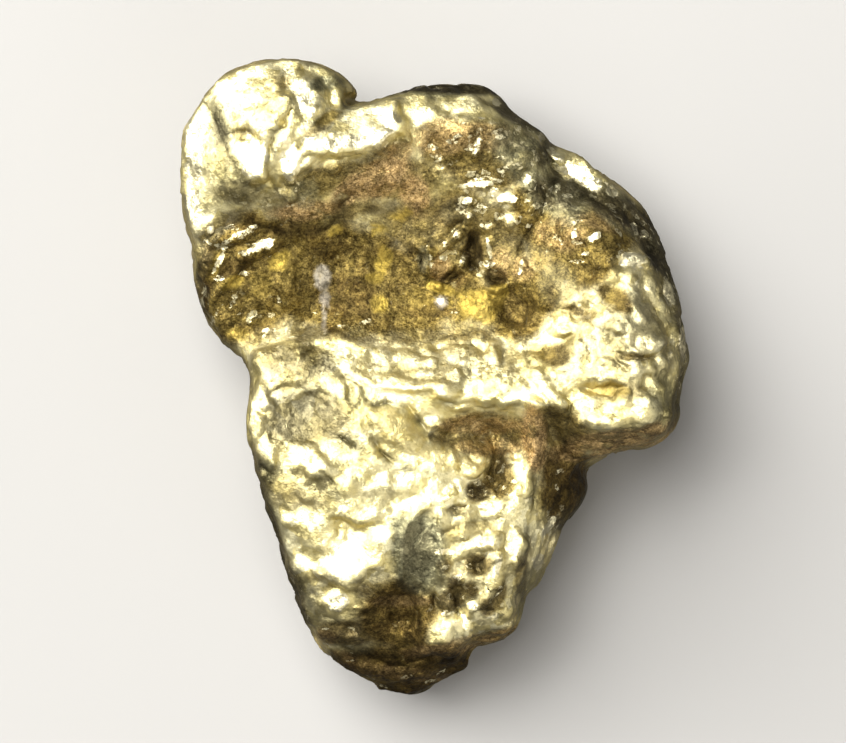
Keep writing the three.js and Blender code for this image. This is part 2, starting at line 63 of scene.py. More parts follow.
UPPER = [
    (-5.213, 9.685, 6.457), (-6.535, 9.024, 6.425), (-5.685, 8.457, 7.087), (-4.583, 8.772, 7.181), (-3.48, 9.244, 6.457),
    (-3.008, 8.614, 6.457), (-3.701, 9.654, 6.236), (-2.756, 9.339, 5.669), (-4.268, 7.984, 7.402), (-5.465, 7.669, 7.496),
    (-6.945, 8.142, 6.457), (-7.323, 6.882, 6.299), (-7.795, 7.197, 5.858), (-7.827, 5.622, 5.606), (-6.63, 6.882, 6.992),
    (-7.417, 5.307, 5.984), (-6.157, 5.937, 7.087), (-5.465, 6.315, 7.307), (-4.362, 6.315, 7.244), (-3.323, 7.197, 7.307),
    (-2.063, 7.669, 7.181), (-1.276, 8.299, 6.772), (-0.173, 8.457, 6.457), (0.929, 8.394, 6.394), (2.031, 7.984, 6.142),
    (2.976, 6.882, 5.827), (3.449, 5.937, 5.606), (-0.173, 9.024, 4.724), (1.717, 8.835, 4.567), (2.976, 7.89, 4.252),
    (4.236, 6.882, 4.252), (5.181, 6.094, 4.409), (6.441, 4.835, 4.409), (7.228, 3.417, 4.409), (7.701, 1.528, 4.567),
    (-0.173, 7.512, 6.457), (1.402, 7.197, 6.299), (-1.118, 6.724, 6.457), (-2.693, 6.094, 6.457), (-4.268, 5.465, 6.457),
    (0.457, 5.937, 5.984), (2.031, 5.937, 5.89), (2.976, 5.15, 5.732), (-6.472, 4.677, 5.984), (-4.898, 4.047, 5.606),
    (-3.008, 4.047, 5.417), (-1.118, 4.362, 5.417), (0.457, 4.52, 5.417), (-6.472, 2.787, 5.512), (-4.583, 2.472, 5.291),
    (-2.693, 2.157, 5.197), (-1.118, 2.157, 5.197), (0.457, 2.315, 5.134), (2.031, 2.472, 5.417), (2.661, 1.685, 5.669),
    (3.291, 2.472, 6.079), (-5.843, 1.37, 5.039), (-4.268, 1.37, 5.197), (-7.417, 3.732, 5.512), (-6.945, 2.157, 5.197),
    (-5.528, 0.583, 5.827), (-4.268, 0.898, 6.142), (-2.693, 0.898, 6.142), (-2.693, 0.11, 6.677), (-1.118, 0.268, 6.457),
    (0.142, 0.898, 5.984), (0.142, -0.205, 6.992), (2.031, 0.898, 6.142), (2.031, -0.205, 7.087), (3.291, 0.898, 6.457),
    (3.606, -0.205, 7.307), (4.236, -0.992, 7.087), (3.921, 3.417, 5.984), (3.921, 2.157, 6.457), (4.394, 4.52, 6.299),
    (5.181, 4.205, 6.488), (5.181, 2.472, 6.992), (6.441, 3.417, 6.299), (6.441, 1.843, 7.181), (5.181, 0.898, 7.307),
    (6.441, 0.268, 7.496), (5.181, -0.677, 7.496), (6.756, -0.677, 7.307), (5.496, -1.465, 7.496), (6.756, -1.307, 7.244),
    (4.488, -1.433, 7.244), (7.386, 0.898, 6.457), (7.228, -0.677, 6.299), (5.811, -1.685, 6.772), (7.071, -1.559, 6.457),
    (5.181, -2.094, 6.236), (-5.213, -0.677, 6.614), (-3.953, -1.15, 6.394), (-2.693, -0.992, 7.087), (-1.118, -1.622, 6.992),
    (0.142, -1.15, 6.677), (1.717, -1.685, 5.984), (2.976, -1.622, 6.457), (3.921, -1.937, 5.984), (4.394, -2.409, 5.354),
    (-4.898, -2.252, 6.772), (-3.323, -2.882, 7.087), (-1.118, -3.197, 6.992), (0.142, -2.724, 6.929), (1.717, -3.039, 6.142),
    (2.819, -3.512, 6.457), (3.606, -3.512, 5.512), (4.236, -3.512, 4.409), (-4.268, -3.827, 6.677), (-2.693, -4.457, 6.992),
    (-1.118, -4.457, 6.992), (0.457, -4.142, 6.772), (2.031, -4.457, 6.614), (3.134, -4.772, 5.827), (3.606, -5.402, 4.724),
    (-4.268, -5.717, 5.984), (-2.693, -5.559, 6.677), (-0.803, -5.402, 6.772), (0.772, -5.717, 6.677), (2.189, -5.717, 6.457),
    (2.976, -6.189, 5.197), (-3.638, -6.976, 5.827), (-2.063, -6.976, 5.984), (-0.488, -6.976, 5.984), (1.087, -6.976, 6.236),
    (2.189, -7.449, 5.669), (-3.008, -8.079, 5.039), (-1.433, -8.079, 5.039), (0.142, -8.079, 5.512), (1.402, -8.079, 5.197),
    (-2.063, -9.024, 3.937), (-0.488, -9.339, 3.937), (0.614, -9.181, 3.937),
]
LOWER = [
    (-4.268, 5.78, -0.252), (4.551, 1.843, -0.252), (-1.591, -5.559, -0.252), (-3.701, 5.465, -0.189), (-4.646, 5.244, -0.157),
    (3.984, 1.276, -0.157), (4.929, 2.472, -0.189), (-2, -6.189, -0.157), (-1.055, -4.929, -0.157), (-0.488, 5.622, 0.378),
    (-2.378, 3.732, 0.315), (-0.173, 2.472, 0.441), (2.031, 3.732, 0.315), (2.031, 4.992, 0.504), (6.441, 3.732, 0.315),
    (5.811, -0.047, 0.378), (2.976, -0.677, 0.441), (0.457, -0.047, 0.504), (-1.748, -0.677, 0.378), (-3.638, 1.213, 0.378),
    (-5.843, 4.047, 0.252), (-6.472, 6.252, 0.378), (-5.213, 8.457, 0.567), (0.457, 7.827, 0.63), (-3.953, -2.252, 0.441),
    (-3.323, -3.827, 0.252), (0.457, -2.882, 0.441), (1.402, -5.087, 0.441), (-0.173, -7.606, 0.504), (-2.693, -7.606, 0.441),
    (-0.488, -8.866, 0.756), (2.661, -3.827, 0.693),
]
# x, y, height of the widest line, rounding above, rounding below
RIM = [
    (-5.213, 10, 4.094, 0.11, 2.772), (-6.945, 9.244, 4.094, 0.11, 2.772), (-4.268, 9.969, 4.094, 0.11, 2.772), (-3.165, 9.559, 3.969, 0.22, 2.772),
    (-7.89, 7.197, 4.031, 0.094, 2.898), (-7.921, 5.622, 3.969, 0.11, 2.898), (-7.417, 2.787, 3.465, 0.693, 2.677), (-6.724, 1.055, 3.307, 0.756, 2.362),
    (-5.937, 0.362, 3.307, 0.504, 2.205), (-5.906, -1.307, 3.717, 0.22, 2.646), (-5.465, -3.512, 3.307, 0.441, 2.52), (-4.898, -5.717, 3.15, 0.504, 2.52),
    (-3.953, -8.236, 2.835, 0.819, 2.52), (-2.693, -9.339, 2.52, 1.071, 2.362), (-0.646, -10, 2.205, 1.26, 2.205), (1.087, -8.709, 2.52, 0.819, 2.205),
    (2.504, -8.236, 2.835, 0.63, 2.205), (3.291, -6.661, 2.677, 0.819, 2.205), (3.921, -4.772, 2.52, 0.882, 2.205), (4.646, -3.197, 2.268, 0.693, 1.89),
    (6.441, -2.252, 3.465, 0.819, 2.362), (5.339, -2.567, 3.307, 0.882, 2.362), (7.701, -1.15, 3.622, 0.567, 2.52), (7.984, 0.74, 3.465, 0.409, 2.52),
    (7.386, 3.417, 3.15, 0.441, 2.52), (6.441, 5.15, 2.992, 0.504, 2.52), (5.181, 6.504, 2.992, 0.283, 2.52), (3.606, 7.354, 2.992, 0.441, 2.52),
    (2.031, 8.866, 3.15, 0.315, 2.52), (-0.173, 9.213, 2.992, 0.378, 2.362), (-2.22, 8.803, 3.15, 0.252, 2.205), (-2.693, 9.402, 3.307, 0.378, 2.362),
]
# flat facets: x, y, rx, ry, turn, rise along x, rise along y, softness of the edge
FACETS = [
    (-7.606, 7.354, 0.441, 1.039, -8, 0.66, -0.16, 0.3), (-7.575, 5.685, 0.441, 1.039, 4, 0.66, -0.04, 0.3), (-7.228, 4.835, 0.315, 0.378, 0, 0.4, -0.2, 0.4),
    (-6.409, 8.992, 0.63, 0.472, 25, 0.3, -0.4, 0.35), (-4.992, 9.685, 0.882, 0.378, 3, 0.08, -0.6, 0.35), (-3.48, 9.528, 0.441, 0.283, -18, 0.04, -0.44, 0.35),
    (-4.268, 9.024, 0.441, 0.283, 0, 0.14, -0.26, 0.4), (-5.654, 6.819, 0.472, 0.756, 0, 0.26, -0.22, 0.25), (-4.362, 6.819, 0.378, 0.63, 0, 0.32, -0.16, 0.25),
    (-3.953, 8.394, 0.441, 0.567, 20, 0.26, -0.26, 0.3), (-4.835, 8.394, 0.378, 0.378, 0, 0.2, -0.26, 0.4), (-3.134, 8.646, 0.283, 0.315, 0, 0.28, -0.22, 0.3),
    (-3.449, 7.228, 0.598, 0.283, 3, 0.12, -0.36, 0.3), (-2.63, 7.323, 0.63, 0.283, 2, 0.12, -0.38, 0.3), (-1.874, 7.543, 0.504, 0.315, 20, 0.18, -0.34, 0.3),
    (-1.339, 8.016, 0.378, 0.441, 45, 0.26, -0.26, 0.3), (-3.984, 6.693, 0.157, 0.315, -30, 0.3, -0.2, 0.3), (-3.228, 6.63, 0.189, 0.283, 0, 0.24, -0.26, 0.3),
    (-4.677, 5.874, 0.252, 0.283, 0, 0.22, -0.26, 0.3), (-1.811, 8.677, 0.567, 0.252, 5, 0.12, -0.38, 0.3), (-0.551, 8.299, 0.567, 0.472, 0, 0.12, -0.34, 0.3),
    (0.898, 8.425, 0.567, 0.315, 0, 0.1, -0.36, 0.3), (0.142, 8.52, 0.315, 0.22, 0, 0.1, -0.3, 0.4), (4.52, 6.346, 1.008, 0.378, -27, 0.22, -0.32, 0.2),
    (3.795, 7.008, 0.283, 0.22, -45, 0.2, -0.26, 0.3), (5.528, 5.874, 0.252, 0.189, -50, 0.2, -0.28, 0.3), (1.906, 8.646, 0.157, 0.157, 0, 0.2, -0.3, 0.3),
    (3.323, 7.575, 0.126, 0.22, 20, 0.2, -0.3, 0.3), (3.543, 5.811, 0.094, 0.22, -25, 0.3, -0.3, 0.3), (3.795, 5.937, 0.094, 0.189, -25, 0.3, -0.3, 0.3),
    (6.22, 4.74, 0.094, 0.189, 20, 0.3, -0.3, 0.3), (6.535, 4.488, 0.189, 0.157, -40, 0.26, -0.26, 0.3), (7.197, 2.535, 0.283, 0.63, 8, 0.42, -0.12, 0.3),
    (-6.031, 4.488, 0.535, 0.157, 28, 0.2, -0.36, 0.25), (-5.433, 4.142, 0.504, 0.252, 20, 0.2, -0.32, 0.3), (-7.008, 4.614, 0.126, 0.157, 0, 0.3, -0.3, 0.3),
    (1.276, 7.197, 0.094, 0.378, -15, 0.3, -0.2, 0.3), (0.142, 6.504, 0.157, 0.126, 0, 0.26, -0.26, 0.3), (2.85, 6.157, 0.252, 0.283, 0, 0.24, -0.26, 0.25),
    (1.433, 6.063, 0.441, 0.126, 0, 0.16, -0.32, 0.3), (2.126, 5.622, 0.441, 0.157, -8, 0.2, -0.32, 0.25), (0.929, 5.528, 0.189, 0.126, 0, 0.2, -0.3, 0.3),
    (2.252, 4.992, 0.378, 0.252, 0, 0.24, -0.28, 0.25), (1.622, 4.803, 0.157, 0.126, 30, 0.2, -0.3, 0.3), (0.236, 3.795, 0.126, 0.126, 0, 0.3, -0.3, 0.3),
    (0.142, 2.409, 0.189, 0.189, 0, 0.2, -0.2, 0.3), (4.929, 4.425, 0.283, 0.22, 30, 0.24, -0.26, 0.25), (4.299, 4.457, 0.126, 0.157, 0, 0.24, -0.26, 0.3),
    (6.063, 3.669, 0.567, 0.283, 10, 0.2, -0.3, 0.25), (3.764, 3.26, 0.504, 0.378, -35, 0.16, -0.2, 0.4), (4.079, 1.843, 0.346, 0.252, 10, 0.22, -0.28, 0.3),
    (3.512, 1.118, 0.535, 0.22, 18, 0.2, -0.32, 0.3), (2.315, 1.213, 0.283, 0.283, 0, 0.24, -0.26, 0.3), (6.189, 1.843, 0.252, 0.315, 0, 0.3, -0.2, 0.3),
    (6.819, 2.157, 0.22, 0.504, 10, 0.32, -0.12, 0.3), (6.441, 1.118, 0.504, 0.22, 0, 0.16, -0.34, 0.3), (5.055, 0.205, 0.378, 0.283, 0, 0.2, -0.28, 0.3),
    (6.63, -0.205, 0.315, 0.378, 30, 0.24, -0.24, 0.3), (5.118, -1.055, 0.756, 0.378, 0, 0.12, -0.34, 0.3), (6.315, -1.024, 0.63, 0.346, 0, 0.16, -0.32, 0.3),
    (4.394, 0.205, 0.283, 0.22, 0, 0.24, -0.26, 0.3), (7.701, 1.118, 0.22, 0.693, 0, 0.42, -0.08, 0.3), (5.181, 0.835, 0.283, 0.22, 0, 0.2, -0.3, 0.3),
    (5.811, 1.213, 0.252, 0.252, 0, 0.26, -0.26, 0.3), (-3.071, 1.024, 0.504, 0.252, 8, 0.12, -0.36, 0.25), (-4.992, 0.709, 0.441, 0.22, 10, 0.16, -0.34, 0.3),
    (-1.055, -0.142, 1.071, 0.189, -5, 0.1, -0.4, 0.25), (0.614, 0.835, 0.22, 0.252, 0, 0.2, -0.3, 0.3), (1.087, 0.52, 0.22, 0.315, 0, 0.24, -0.28, 0.3),
    (1.717, 0.646, 0.189, 0.315, 0, 0.28, -0.22, 0.3), (1.402, -0.394, 0.598, 0.252, -8, 0.18, -0.32, 0.25), (2.567, -0.236, 0.346, 0.252, 0, 0.22, -0.28, 0.3),
    (-0.173, 0.394, 0.252, 0.189, 0, 0.2, -0.3, 0.3), (3.449, -0.362, 0.756, 0.189, -50, 0.26, -0.22, 0.25), (2.031, -0.047, 0.252, 0.252, 0, 0.24, -0.26, 0.3),
    (0.52, 0.016, 0.252, 0.189, 0, 0.2, -0.3, 0.3), (2.976, 0.52, 0.22, 0.283, 0, 0.26, -0.24, 0.3), (-2.378, 0.835, 0.283, 0.22, 0, 0.16, -0.3, 0.4),
    (-1.748, 0.646, 0.315, 0.22, 0, 0.12, -0.3, 0.4), (-0.961, 0.52, 0.315, 0.252, 0, 0.16, -0.3, 0.4), (-0.331, 0.835, 0.252, 0.252, 0, 0.2, -0.28, 0.4),
    (-1.276, 1.055, 0.283, 0.189, 0, 0.14, -0.28, 0.4), (0.142, 1.087, 0.22, 0.22, 0, 0.2, -0.28, 0.4), (1.339, 1.055, 0.22, 0.252, 0, 0.22, -0.28, 0.4),
    (2.819, 1.055, 0.22, 0.283, 0, 0.2, -0.28, 0.4), (3.921, 0.52, 0.252, 0.252, 0, 0.24, -0.26, 0.4), (2.189, -0.614, 0.283, 0.189, 0, 0.16, -0.32, 0.4),
    (0.835, -0.677, 0.315, 0.189, 0, 0.14, -0.3, 0.4), (4.394, 0.835, 0.252, 0.22, 0, 0.22, -0.28, 0.4), (6.913, 0.583, 0.252, 0.252, 0, 0.26, -0.22, 0.4),
    (7.323, 1.213, 0.189, 0.378, 0, 0.34, -0.1, 0.4), (5.874, 0.205, 0.252, 0.189, 0, 0.2, -0.3, 0.4), (6.315, -0.677, 0.378, 0.189, 0, 0.14, -0.34, 0.4),
    (4.866, 2.283, 0.252, 0.189, 0, 0.1, -0.1, 0.4), (6.598, 2.787, 0.252, 0.315, 0, 0.28, -0.2, 0.4), (5.969, 3.008, 0.252, 0.189, 0, 0.2, -0.28, 0.4),
    (-5.465, -0.614, 0.346, 0.409, 0, 0.46, -0.14, 0.3), (-5.654, -1.37, 0.315, 0.441, 0, 0.52, -0.06, 0.3), (-5.276, -2.126, 0.315, 0.441, 0, 0.42, -0.04, 0.3),
    (-4.52, 0.425, 0.378, 0.252, 0, 0.2, -0.3, 0.35), (-4.016, -2.472, 0.693, 0.283, -35, 0.26, -0.26, 0.25), (-2.787, -0.803, 0.252, 0.283, 0, 0.24, -0.26, 0.3),
    (-0.142, -1.37, 0.409, 0.283, 0, 0.2, -0.3, 0.25), (0.52, -2.441, 0.189, 0.252, 20, 0.26, -0.26, 0.25), (0.992, -2.756, 0.378, 0.283, -10, 0.2, -0.3, 0.25),
    (1.244, -2.441, 0.157, 0.22, 0, 0.26, -0.26, 0.3), (0.331, -3.512, 0.252, 0.22, 0, 0.22, -0.28, 0.3), (-0.709, -3.827, 0.409, 0.252, 0, 0.14, -0.34, 0.25),
    (2.157, -3.512, 0.22, 0.22, 0, 0.24, -0.26, 0.3), (2.819, -3.323, 0.157, 0.22, 0, 0.28, -0.24, 0.3), (1.591, -4.173, 0.346, 0.189, -8, 0.2, -0.3, 0.3),
    (-2.535, -5.433, 1.071, 0.882, 15, 0.2, -0.26, 0.18), (-1.591, -4.52, 0.472, 0.945, -27, 0.26, -0.2, 0.25), (-4.173, -5.685, 0.346, 0.504, 0, 0.42, -0.1, 0.3),
    (-4.898, -4.866, 0.283, 0.472, 15, 0.46, -0.06, 0.3), (-4.583, -4.205, 0.283, 0.283, 0, 0.4, -0.1, 0.4), (-3.638, -4.929, 0.504, 0.441, 0, 0.22, -0.18, 0.6),
    (-2, -4.079, 0.441, 0.315, 0, 0.14, -0.18, 0.6), (-1.118, -3.134, 0.504, 0.252, -10, 0.12, -0.24, 0.5), (-3.071, -6.913, 0.409, 0.378, 30, 0.28, -0.2, 0.25),
    (0.52, -5.37, 0.346, 0.189, 0, 0.18, -0.32, 0.3), (1.402, -4.992, 0.567, 0.22, 5, 0.14, -0.34, 0.3), (2.378, -5.181, 0.315, 0.661, 8, 0.3, -0.16, 0.25),
    (1.748, -6.252, 0.157, 0.535, -22, 0.34, -0.12, 0.25), (1.087, -7.008, 0.22, 0.252, 0, 0.24, -0.26, 0.3), (0.961, -7.606, 0.126, 0.315, 0, 0.32, -0.14, 0.3),
    (1.402, -7.827, 0.189, 0.189, 0, 0.24, -0.26, 0.3), (2.22, -7.228, 0.252, 0.189, 0, 0.24, -0.26, 0.3), (0.047, -7.732, 0.441, 0.567, 0, 0.22, -0.24, 0.35),
    (3.543, -4.614, 0.126, 0.378, -32, 0.36, -0.16, 0.25), (3.197, -5.717, 0.189, 0.283, -20, 0.34, -0.16, 0.3), (-3.953, -4.362, 0.441, 0.378, 0, 0.16, -0.18, 0.6),
    (-2.85, -3.197, 0.315, 0.283, 0, 0.2, -0.24, 0.35), (-1.748, -3.039, 0.441, 0.283, 0, 0.16, -0.26, 0.35),
]
# steep hollows: x, y, rx, ry, turn, depth
PITS = [
    (-4.74, 9.213, 0.252, 0.22, 0, 0.189), (-5.969, 7.543, 0.409, 0.252, 0, 0.157), (-4.772, 7.858, 0.22, 0.189, 0, 0.126), (1.213, 3.858, 0.283, 0.63, 0, 0.504),
    (0.614, 3.102, 0.409, 0.315, 20, 0.378), (1.906, 3.134, 0.315, 0.283, 0, 0.315), (-0.394, 3.701, 0.126, 0.378, 0, 0.283), (2.567, 2.189, 0.819, 0.724, -30, 0.283),
    (0.614, 4.677, 0.346, 0.22, 0, 0.189), (5.559, 2.504, 0.472, 0.535, 0, 0.189), (4.488, 2.063, 0.63, 0.315, -15, 0.142), (3.669, 0.74, 0.504, 0.409, 0, 0.142),
    (6.189, 0.677, 0.472, 0.126, 0, 0.22), (5.181, -0.362, 0.693, 0.252, 0, 0.252), (4.803, 3.26, 0.315, 0.315, 0, 0.126), (-4.016, -1.15, 1.386, 0.756, 12, 0.016),
    (0.961, -1.622, 1.134, 0.441, 6, 0.252), (2.126, -1.969, 0.85, 0.567, -8, 0.315), (0.299, -1.969, 0.504, 0.283, -20, 0.126), (1.874, -2.882, 0.315, 0.693, 10, 0.378),
    (1.339, -3.512, 0.315, 0.283, 0, 0.283), (0.614, -3.984, 0.378, 0.189, 0, 0.189), (1.339, -5.78, 0.378, 0.315, 0, 0.378), (0.646, -6.724, 0.252, 0.535, 10, 0.346),
    (-0.173, -6.661, 0.252, 0.157, 0, 0.126), (-1.244, -7.134, 0.756, 0.882, 0, 0.378), (-2.85, -7.827, 0.504, 0.252, 0, 0.22), (-2.63, -0.52, 0.189, 0.315, 0, 0.157),
    (3.701, -1.622, 0.283, 0.567, 0, 0.283), (-0.614, -5.244, 0.756, 1.197, 0, 0.031), (-2.693, 3.669, 0.693, 0.441, 0, 0.126), (2.535, 1.969, 0.504, 0.378, -30, 0.126),
]
# rounded lumps: x, y, rx, ry, turn, height
MOUNDS = [
    (-1.181, -1.559, 1.197, 0.472, -38, 0.252), (4.866, 4.803, 1.071, 0.567, 10, 0.252), (1.087, 7.197, 1.008, 0.63, 0, 0.22), (1.244, 2.157, 0.63, 0.409, 10, 0.189),
    (-4.268, 2.945, 0.756, 0.504, 0, 0.126), (-5.843, -0.52, 0.315, 0.63, 0, 0.157), (0.961, -2.724, 0.472, 0.346, 20, 0.22), (0.457, -2.346, 0.252, 0.252, 0, 0.157),
    (2.819, -3.291, 0.315, 0.315, 0, 0.189), (2.378, -5.244, 0.441, 0.598, 0, 0.22), (0.047, -7.669, 0.504, 0.598, 0, 0.22), (2.189, -7.228, 0.283, 0.252, 0, 0.189),
    (1.402, -7.795, 0.252, 0.252, 0, 0.157), (-1.244, -6.409, 0.378, 0.315, 0, 0.157), (-3.48, -8.11, 0.283, 0.22, 0, 0.157), (-3.323, 9.024, 0.567, 0.283, -20, -0.157),
    (-0.488, -5.559, 0.504, 0.63, 0, 0.094), (-6.409, 8.898, 0.504, 0.409, 0, 0.126), (5.559, 3.669, 0.63, 0.283, 8, 0.157), (3.795, 3.26, 0.504, 0.346, -30, 0.157),
    (5.496, 1.528, 0.315, 0.252, 0, 0.157), (6.756, 1.528, 0.283, 0.441, 0, 0.189), (3.921, 1.528, 0.315, 0.252, 0, 0.189), (4.394, 1.055, 0.252, 0.252, 0, 0.157),
    (5.181, 0.425, 0.315, 0.22, 0, 0.157), (6.756, 0.268, 0.283, 0.283, 0, 0.157), (2.661, 1.055, 0.283, 0.283, 0, 0.157), (1.717, 0.898, 0.283, 0.315, 0, 0.157),
    (0.772, 0.74, 0.315, 0.283, 0, 0.126), (6.913, 2.787, 0.283, 0.315, 0, 0.157), (3.449, 2.472, 0.252, 0.378, 0, 0.126),
]
# crevices and folds: half width, depth or height, path
CREVICES = [
    (0.252, 0.189, [(-7.228, 8.583), (-6.976, 8.205), (-6.661, 7.575), (-6.472, 7.197)]),
    (0.22, 0.157, [(-6.409, 7.039), (-6.157, 6.409), (-5.969, 5.748), (-5.843, 5.307)]),
    (0.157, 0.315, [(-4.961, 5.874), (-5.213, 6.504), (-5.087, 7.039), (-4.866, 7.575), (-4.583, 8.142), (-4.331, 8.646)]),
    (0.189, 0.441, [(-2.693, 8.583), (-2.976, 8.205), (-3.48, 8.016), (-3.921, 7.575), (-4.173, 7.134)]),
    (0.126, 0.094, [(-6.22, 6.724), (-5.969, 6.189), (-5.654, 5.874), (-5.276, 6.063)]),
    (0.157, 0.252, [(-5.465, 4.803), (-4.583, 4.52), (-3.638, 4.583), (-3.165, 4.929), (-2.913, 5.433), (-2.63, 5.748)]),
    (0.157, 0.315, [(3.291, 7.89), (3.48, 6.882), (3.669, 6.189), (3.449, 5.465), (2.976, 4.614), (2.724, 4.047)]),
    (0.157, 0.252, [(3.921, 6.724), (4.551, 5.78), (5.496, 5.244), (6.441, 4.614), (6.913, 3.669)]),
    (0.157, 0.157, [(-5.465, -0.614), (-4.74, -0.299), (-3.953, -0.331), (-3.165, -0.677), (-2.693, -1.244)]),
    (0.126, 0.252, [(-2.819, 0.016), (-2.315, -0.236), (-2.094, -0.74), (-2.252, -1.559)]),
    (0.157, 0.409, [(-2.126, -1.055), (-2, -1.685), (-1.496, -2.409), (-0.803, -2.819), (-0.236, -2.819)]),
    (0.157, 0.409, [(-1.937, -0.803), (-1.37, -0.74), (-0.74, -1.15), (0.016, -2)]),
    (0.126, 0.283, [(-3.449, -1.748), (-2.882, -1.843), (-2.315, -2.189)]),
    (0.126, 0.22, [(-3.575, -2.882), (-3.071, -3.323)]),
    (0.157, 0.283, [(-2.85, -8.425), (-1.748, -8.646), (-0.803, -8.866), (0.299, -8.772), (0.835, -8.551)]),
    (0.157, 0.283, [(-5.685, -2.63), (-5.213, -2.882), (-5.055, -3.512)]),
    (0.126, 0.126, [(-1.181, -4.205), (-1.307, -4.929), (-1.307, -5.717), (-1.055, -6.504)]),
    (0.126, 0.22, [(0.142, -4.772), (1.087, -4.457), (2.031, -4.268)]),
    (0.157, 0.315, [(2.976, -2.882), (3.039, -3.827), (2.85, -4.772), (2.724, -5.717)]),
    (0.126, 0.252, [(4.016, -0.52), (4.142, -1.307), (3.984, -2.252)]),
    (0.126, 0.22, [(0.142, -0.677), (1.087, -0.803), (2.661, -0.803)]),
    (0.126, 0.189, [(4.236, -1.748), (5.496, -1.843), (6.756, -1.685)]),
    (0.094, 0.157, [(-7.26, 4.047), (-7.48, 3.26)]),
    (0.094, 0.157, [(-6.724, 3.984), (-7.102, 2.945)]),
    (0.094, 0.157, [(-6.315, 3.669), (-6.724, 2.472)]),
    (0.094, 0.157, [(-6.472, 1.528), (-5.843, 2.315)]),
    (0.126, 0.22, [(-3.858, -6.661), (-3.575, -7.354), (-2.85, -7.543), (-2.22, -7.354)]),
    (0.126, 0.189, [(1.087, 1.055), (1.024, 0.11)]),
    (0.126, 0.189, [(2.189, 0.898), (2.031, 0.11)]),
    (0.126, 0.189, [(4.709, 1.528), (5.496, 1.37), (5.969, 0.898)]),
    (0.126, 0.189, [(5.559, 0.52), (5.969, 0.11), (6.063, -0.52)]),
]
FOLDS = [
    (0.283, 0.283, [(-3.764, 7.134), (-3.165, 7.48), (-2.315, 7.291), (-1.622, 7.606), (-1.181, 8.362)]),
    (0.22, 0.189, [(-2.441, 8.583), (-1.118, 8.488), (0.142, 8.457), (1.402, 8.394), (2.189, 8.016), (2.819, 7.323)]),
    (0.283, 0.094, [(-4.268, 5.15), (-3.323, 5.276), (-2.693, 5.843), (-1.748, 6.22), (-0.961, 6.693)]),
    (0.22, 0.094, [(-0.961, 6.252), (-0.488, 5.78), (-0.173, 5.402)]),
    (0.157, 0.22, [(-6.535, 4.268), (-6.031, 4.488), (-5.465, 4.866)]),
    (0.157, 0.189, [(-6, 3.795), (-5.465, 4.142), (-4.929, 4.362)]),
    (0.094, 0.157, [(-0.551, 4.173), (0.142, 4.016), (0.772, 4.488), (0.961, 4.929)]),
    (0.094, 0.157, [(0.142, 2.819), (0.803, 3.354), (1.087, 3.669)]),
    (0.094, 0.079, [(1.591, 3.417), (1.654, 4.047), (1.874, 4.614)]),
    (0.094, 0.094, [(2.189, 2.945), (1.717, 2.724), (1.339, 2.787)]),
    (0.094, 0.189, [(2.787, 3.669), (3.228, 3.102), (3.323, 2.441), (3.071, 1.654)]),
    (0.252, 0.22, [(-5.748, 0.394), (-5.055, 0.803), (-4.268, 1.024), (-3.323, 1.244), (-2.504, 1.118)]),
    (0.189, 0.189, [(-2.252, -0.047), (-1.433, -0.205), (-0.646, -0.268), (0.142, -0.205)]),
    (0.157, 0.252, [(2.756, 0.52), (3.071, 0.079), (3.543, -0.488), (4.047, -1.087)]),
    (0.252, 0.252, [(0.142, -0.551), (1.402, -0.646), (2.661, -0.677), (3.543, -0.803)]),
    (0.189, 0.22, [(-5.622, -0.236), (-5.717, -0.929), (-5.591, -1.622), (-5.276, -2.189), (-5.055, -2.63)]),
    (0.22, 0.22, [(-4.772, -2.063), (-4.268, -2.252), (-3.701, -2.693), (-3.291, -2.882)]),
    (0.315, 0.378, [(3.071, -0.929), (3.071, -1.874), (2.945, -2.819)]),
    (0.126, 0.189, [(0.803, -5.339), (1.402, -5.087), (2, -5.339), (1.937, -5.78), (1.591, -6.598), (1.339, -7.354)]),
    (0.189, 0.283, [(-3.228, -8.709), (-2.22, -8.929), (-1.118, -9.307), (0.142, -9.307), (1.087, -8.961)]),
    (0.157, 0.189, [(-3.764, -8.236), (-3.165, -8.866)]),
    (0.126, 0.252, [(3.827, -4.299), (3.386, -5.087)]),
    (0.126, 0.22, [(3.291, -5.339), (3.071, -5.874), (2.819, -6.504)]),
    (0.22, 0.252, [(4.331, -0.929), (5.181, -1.213), (6, -1.118), (6.882, -0.677)]),
    (0.189, 0.189, [(4.299, -2.252), (5.181, -2.063), (6.441, -1.843), (7.323, -1.307)]),
    (0.157, 0.189, [(-0.646, -4.079), (-0.961, -5.087), (-1.055, -6.189)]),
    (0.126, 0.189, [(0.142, -4.142), (0.079, -5.087), (0.205, -6.031)]),
    (0.157, 0.189, [(4.236, -3.197), (3.921, -4.142), (3.795, -4.772)]),
    (0.126, 0.189, [(-7.512, 2.945), (-7.197, 3.669), (-6.85, 4.362)]),
    (0.126, 0.189, [(-7.039, 2.157), (-6.535, 3.039), (-5.969, 3.669)]),
]
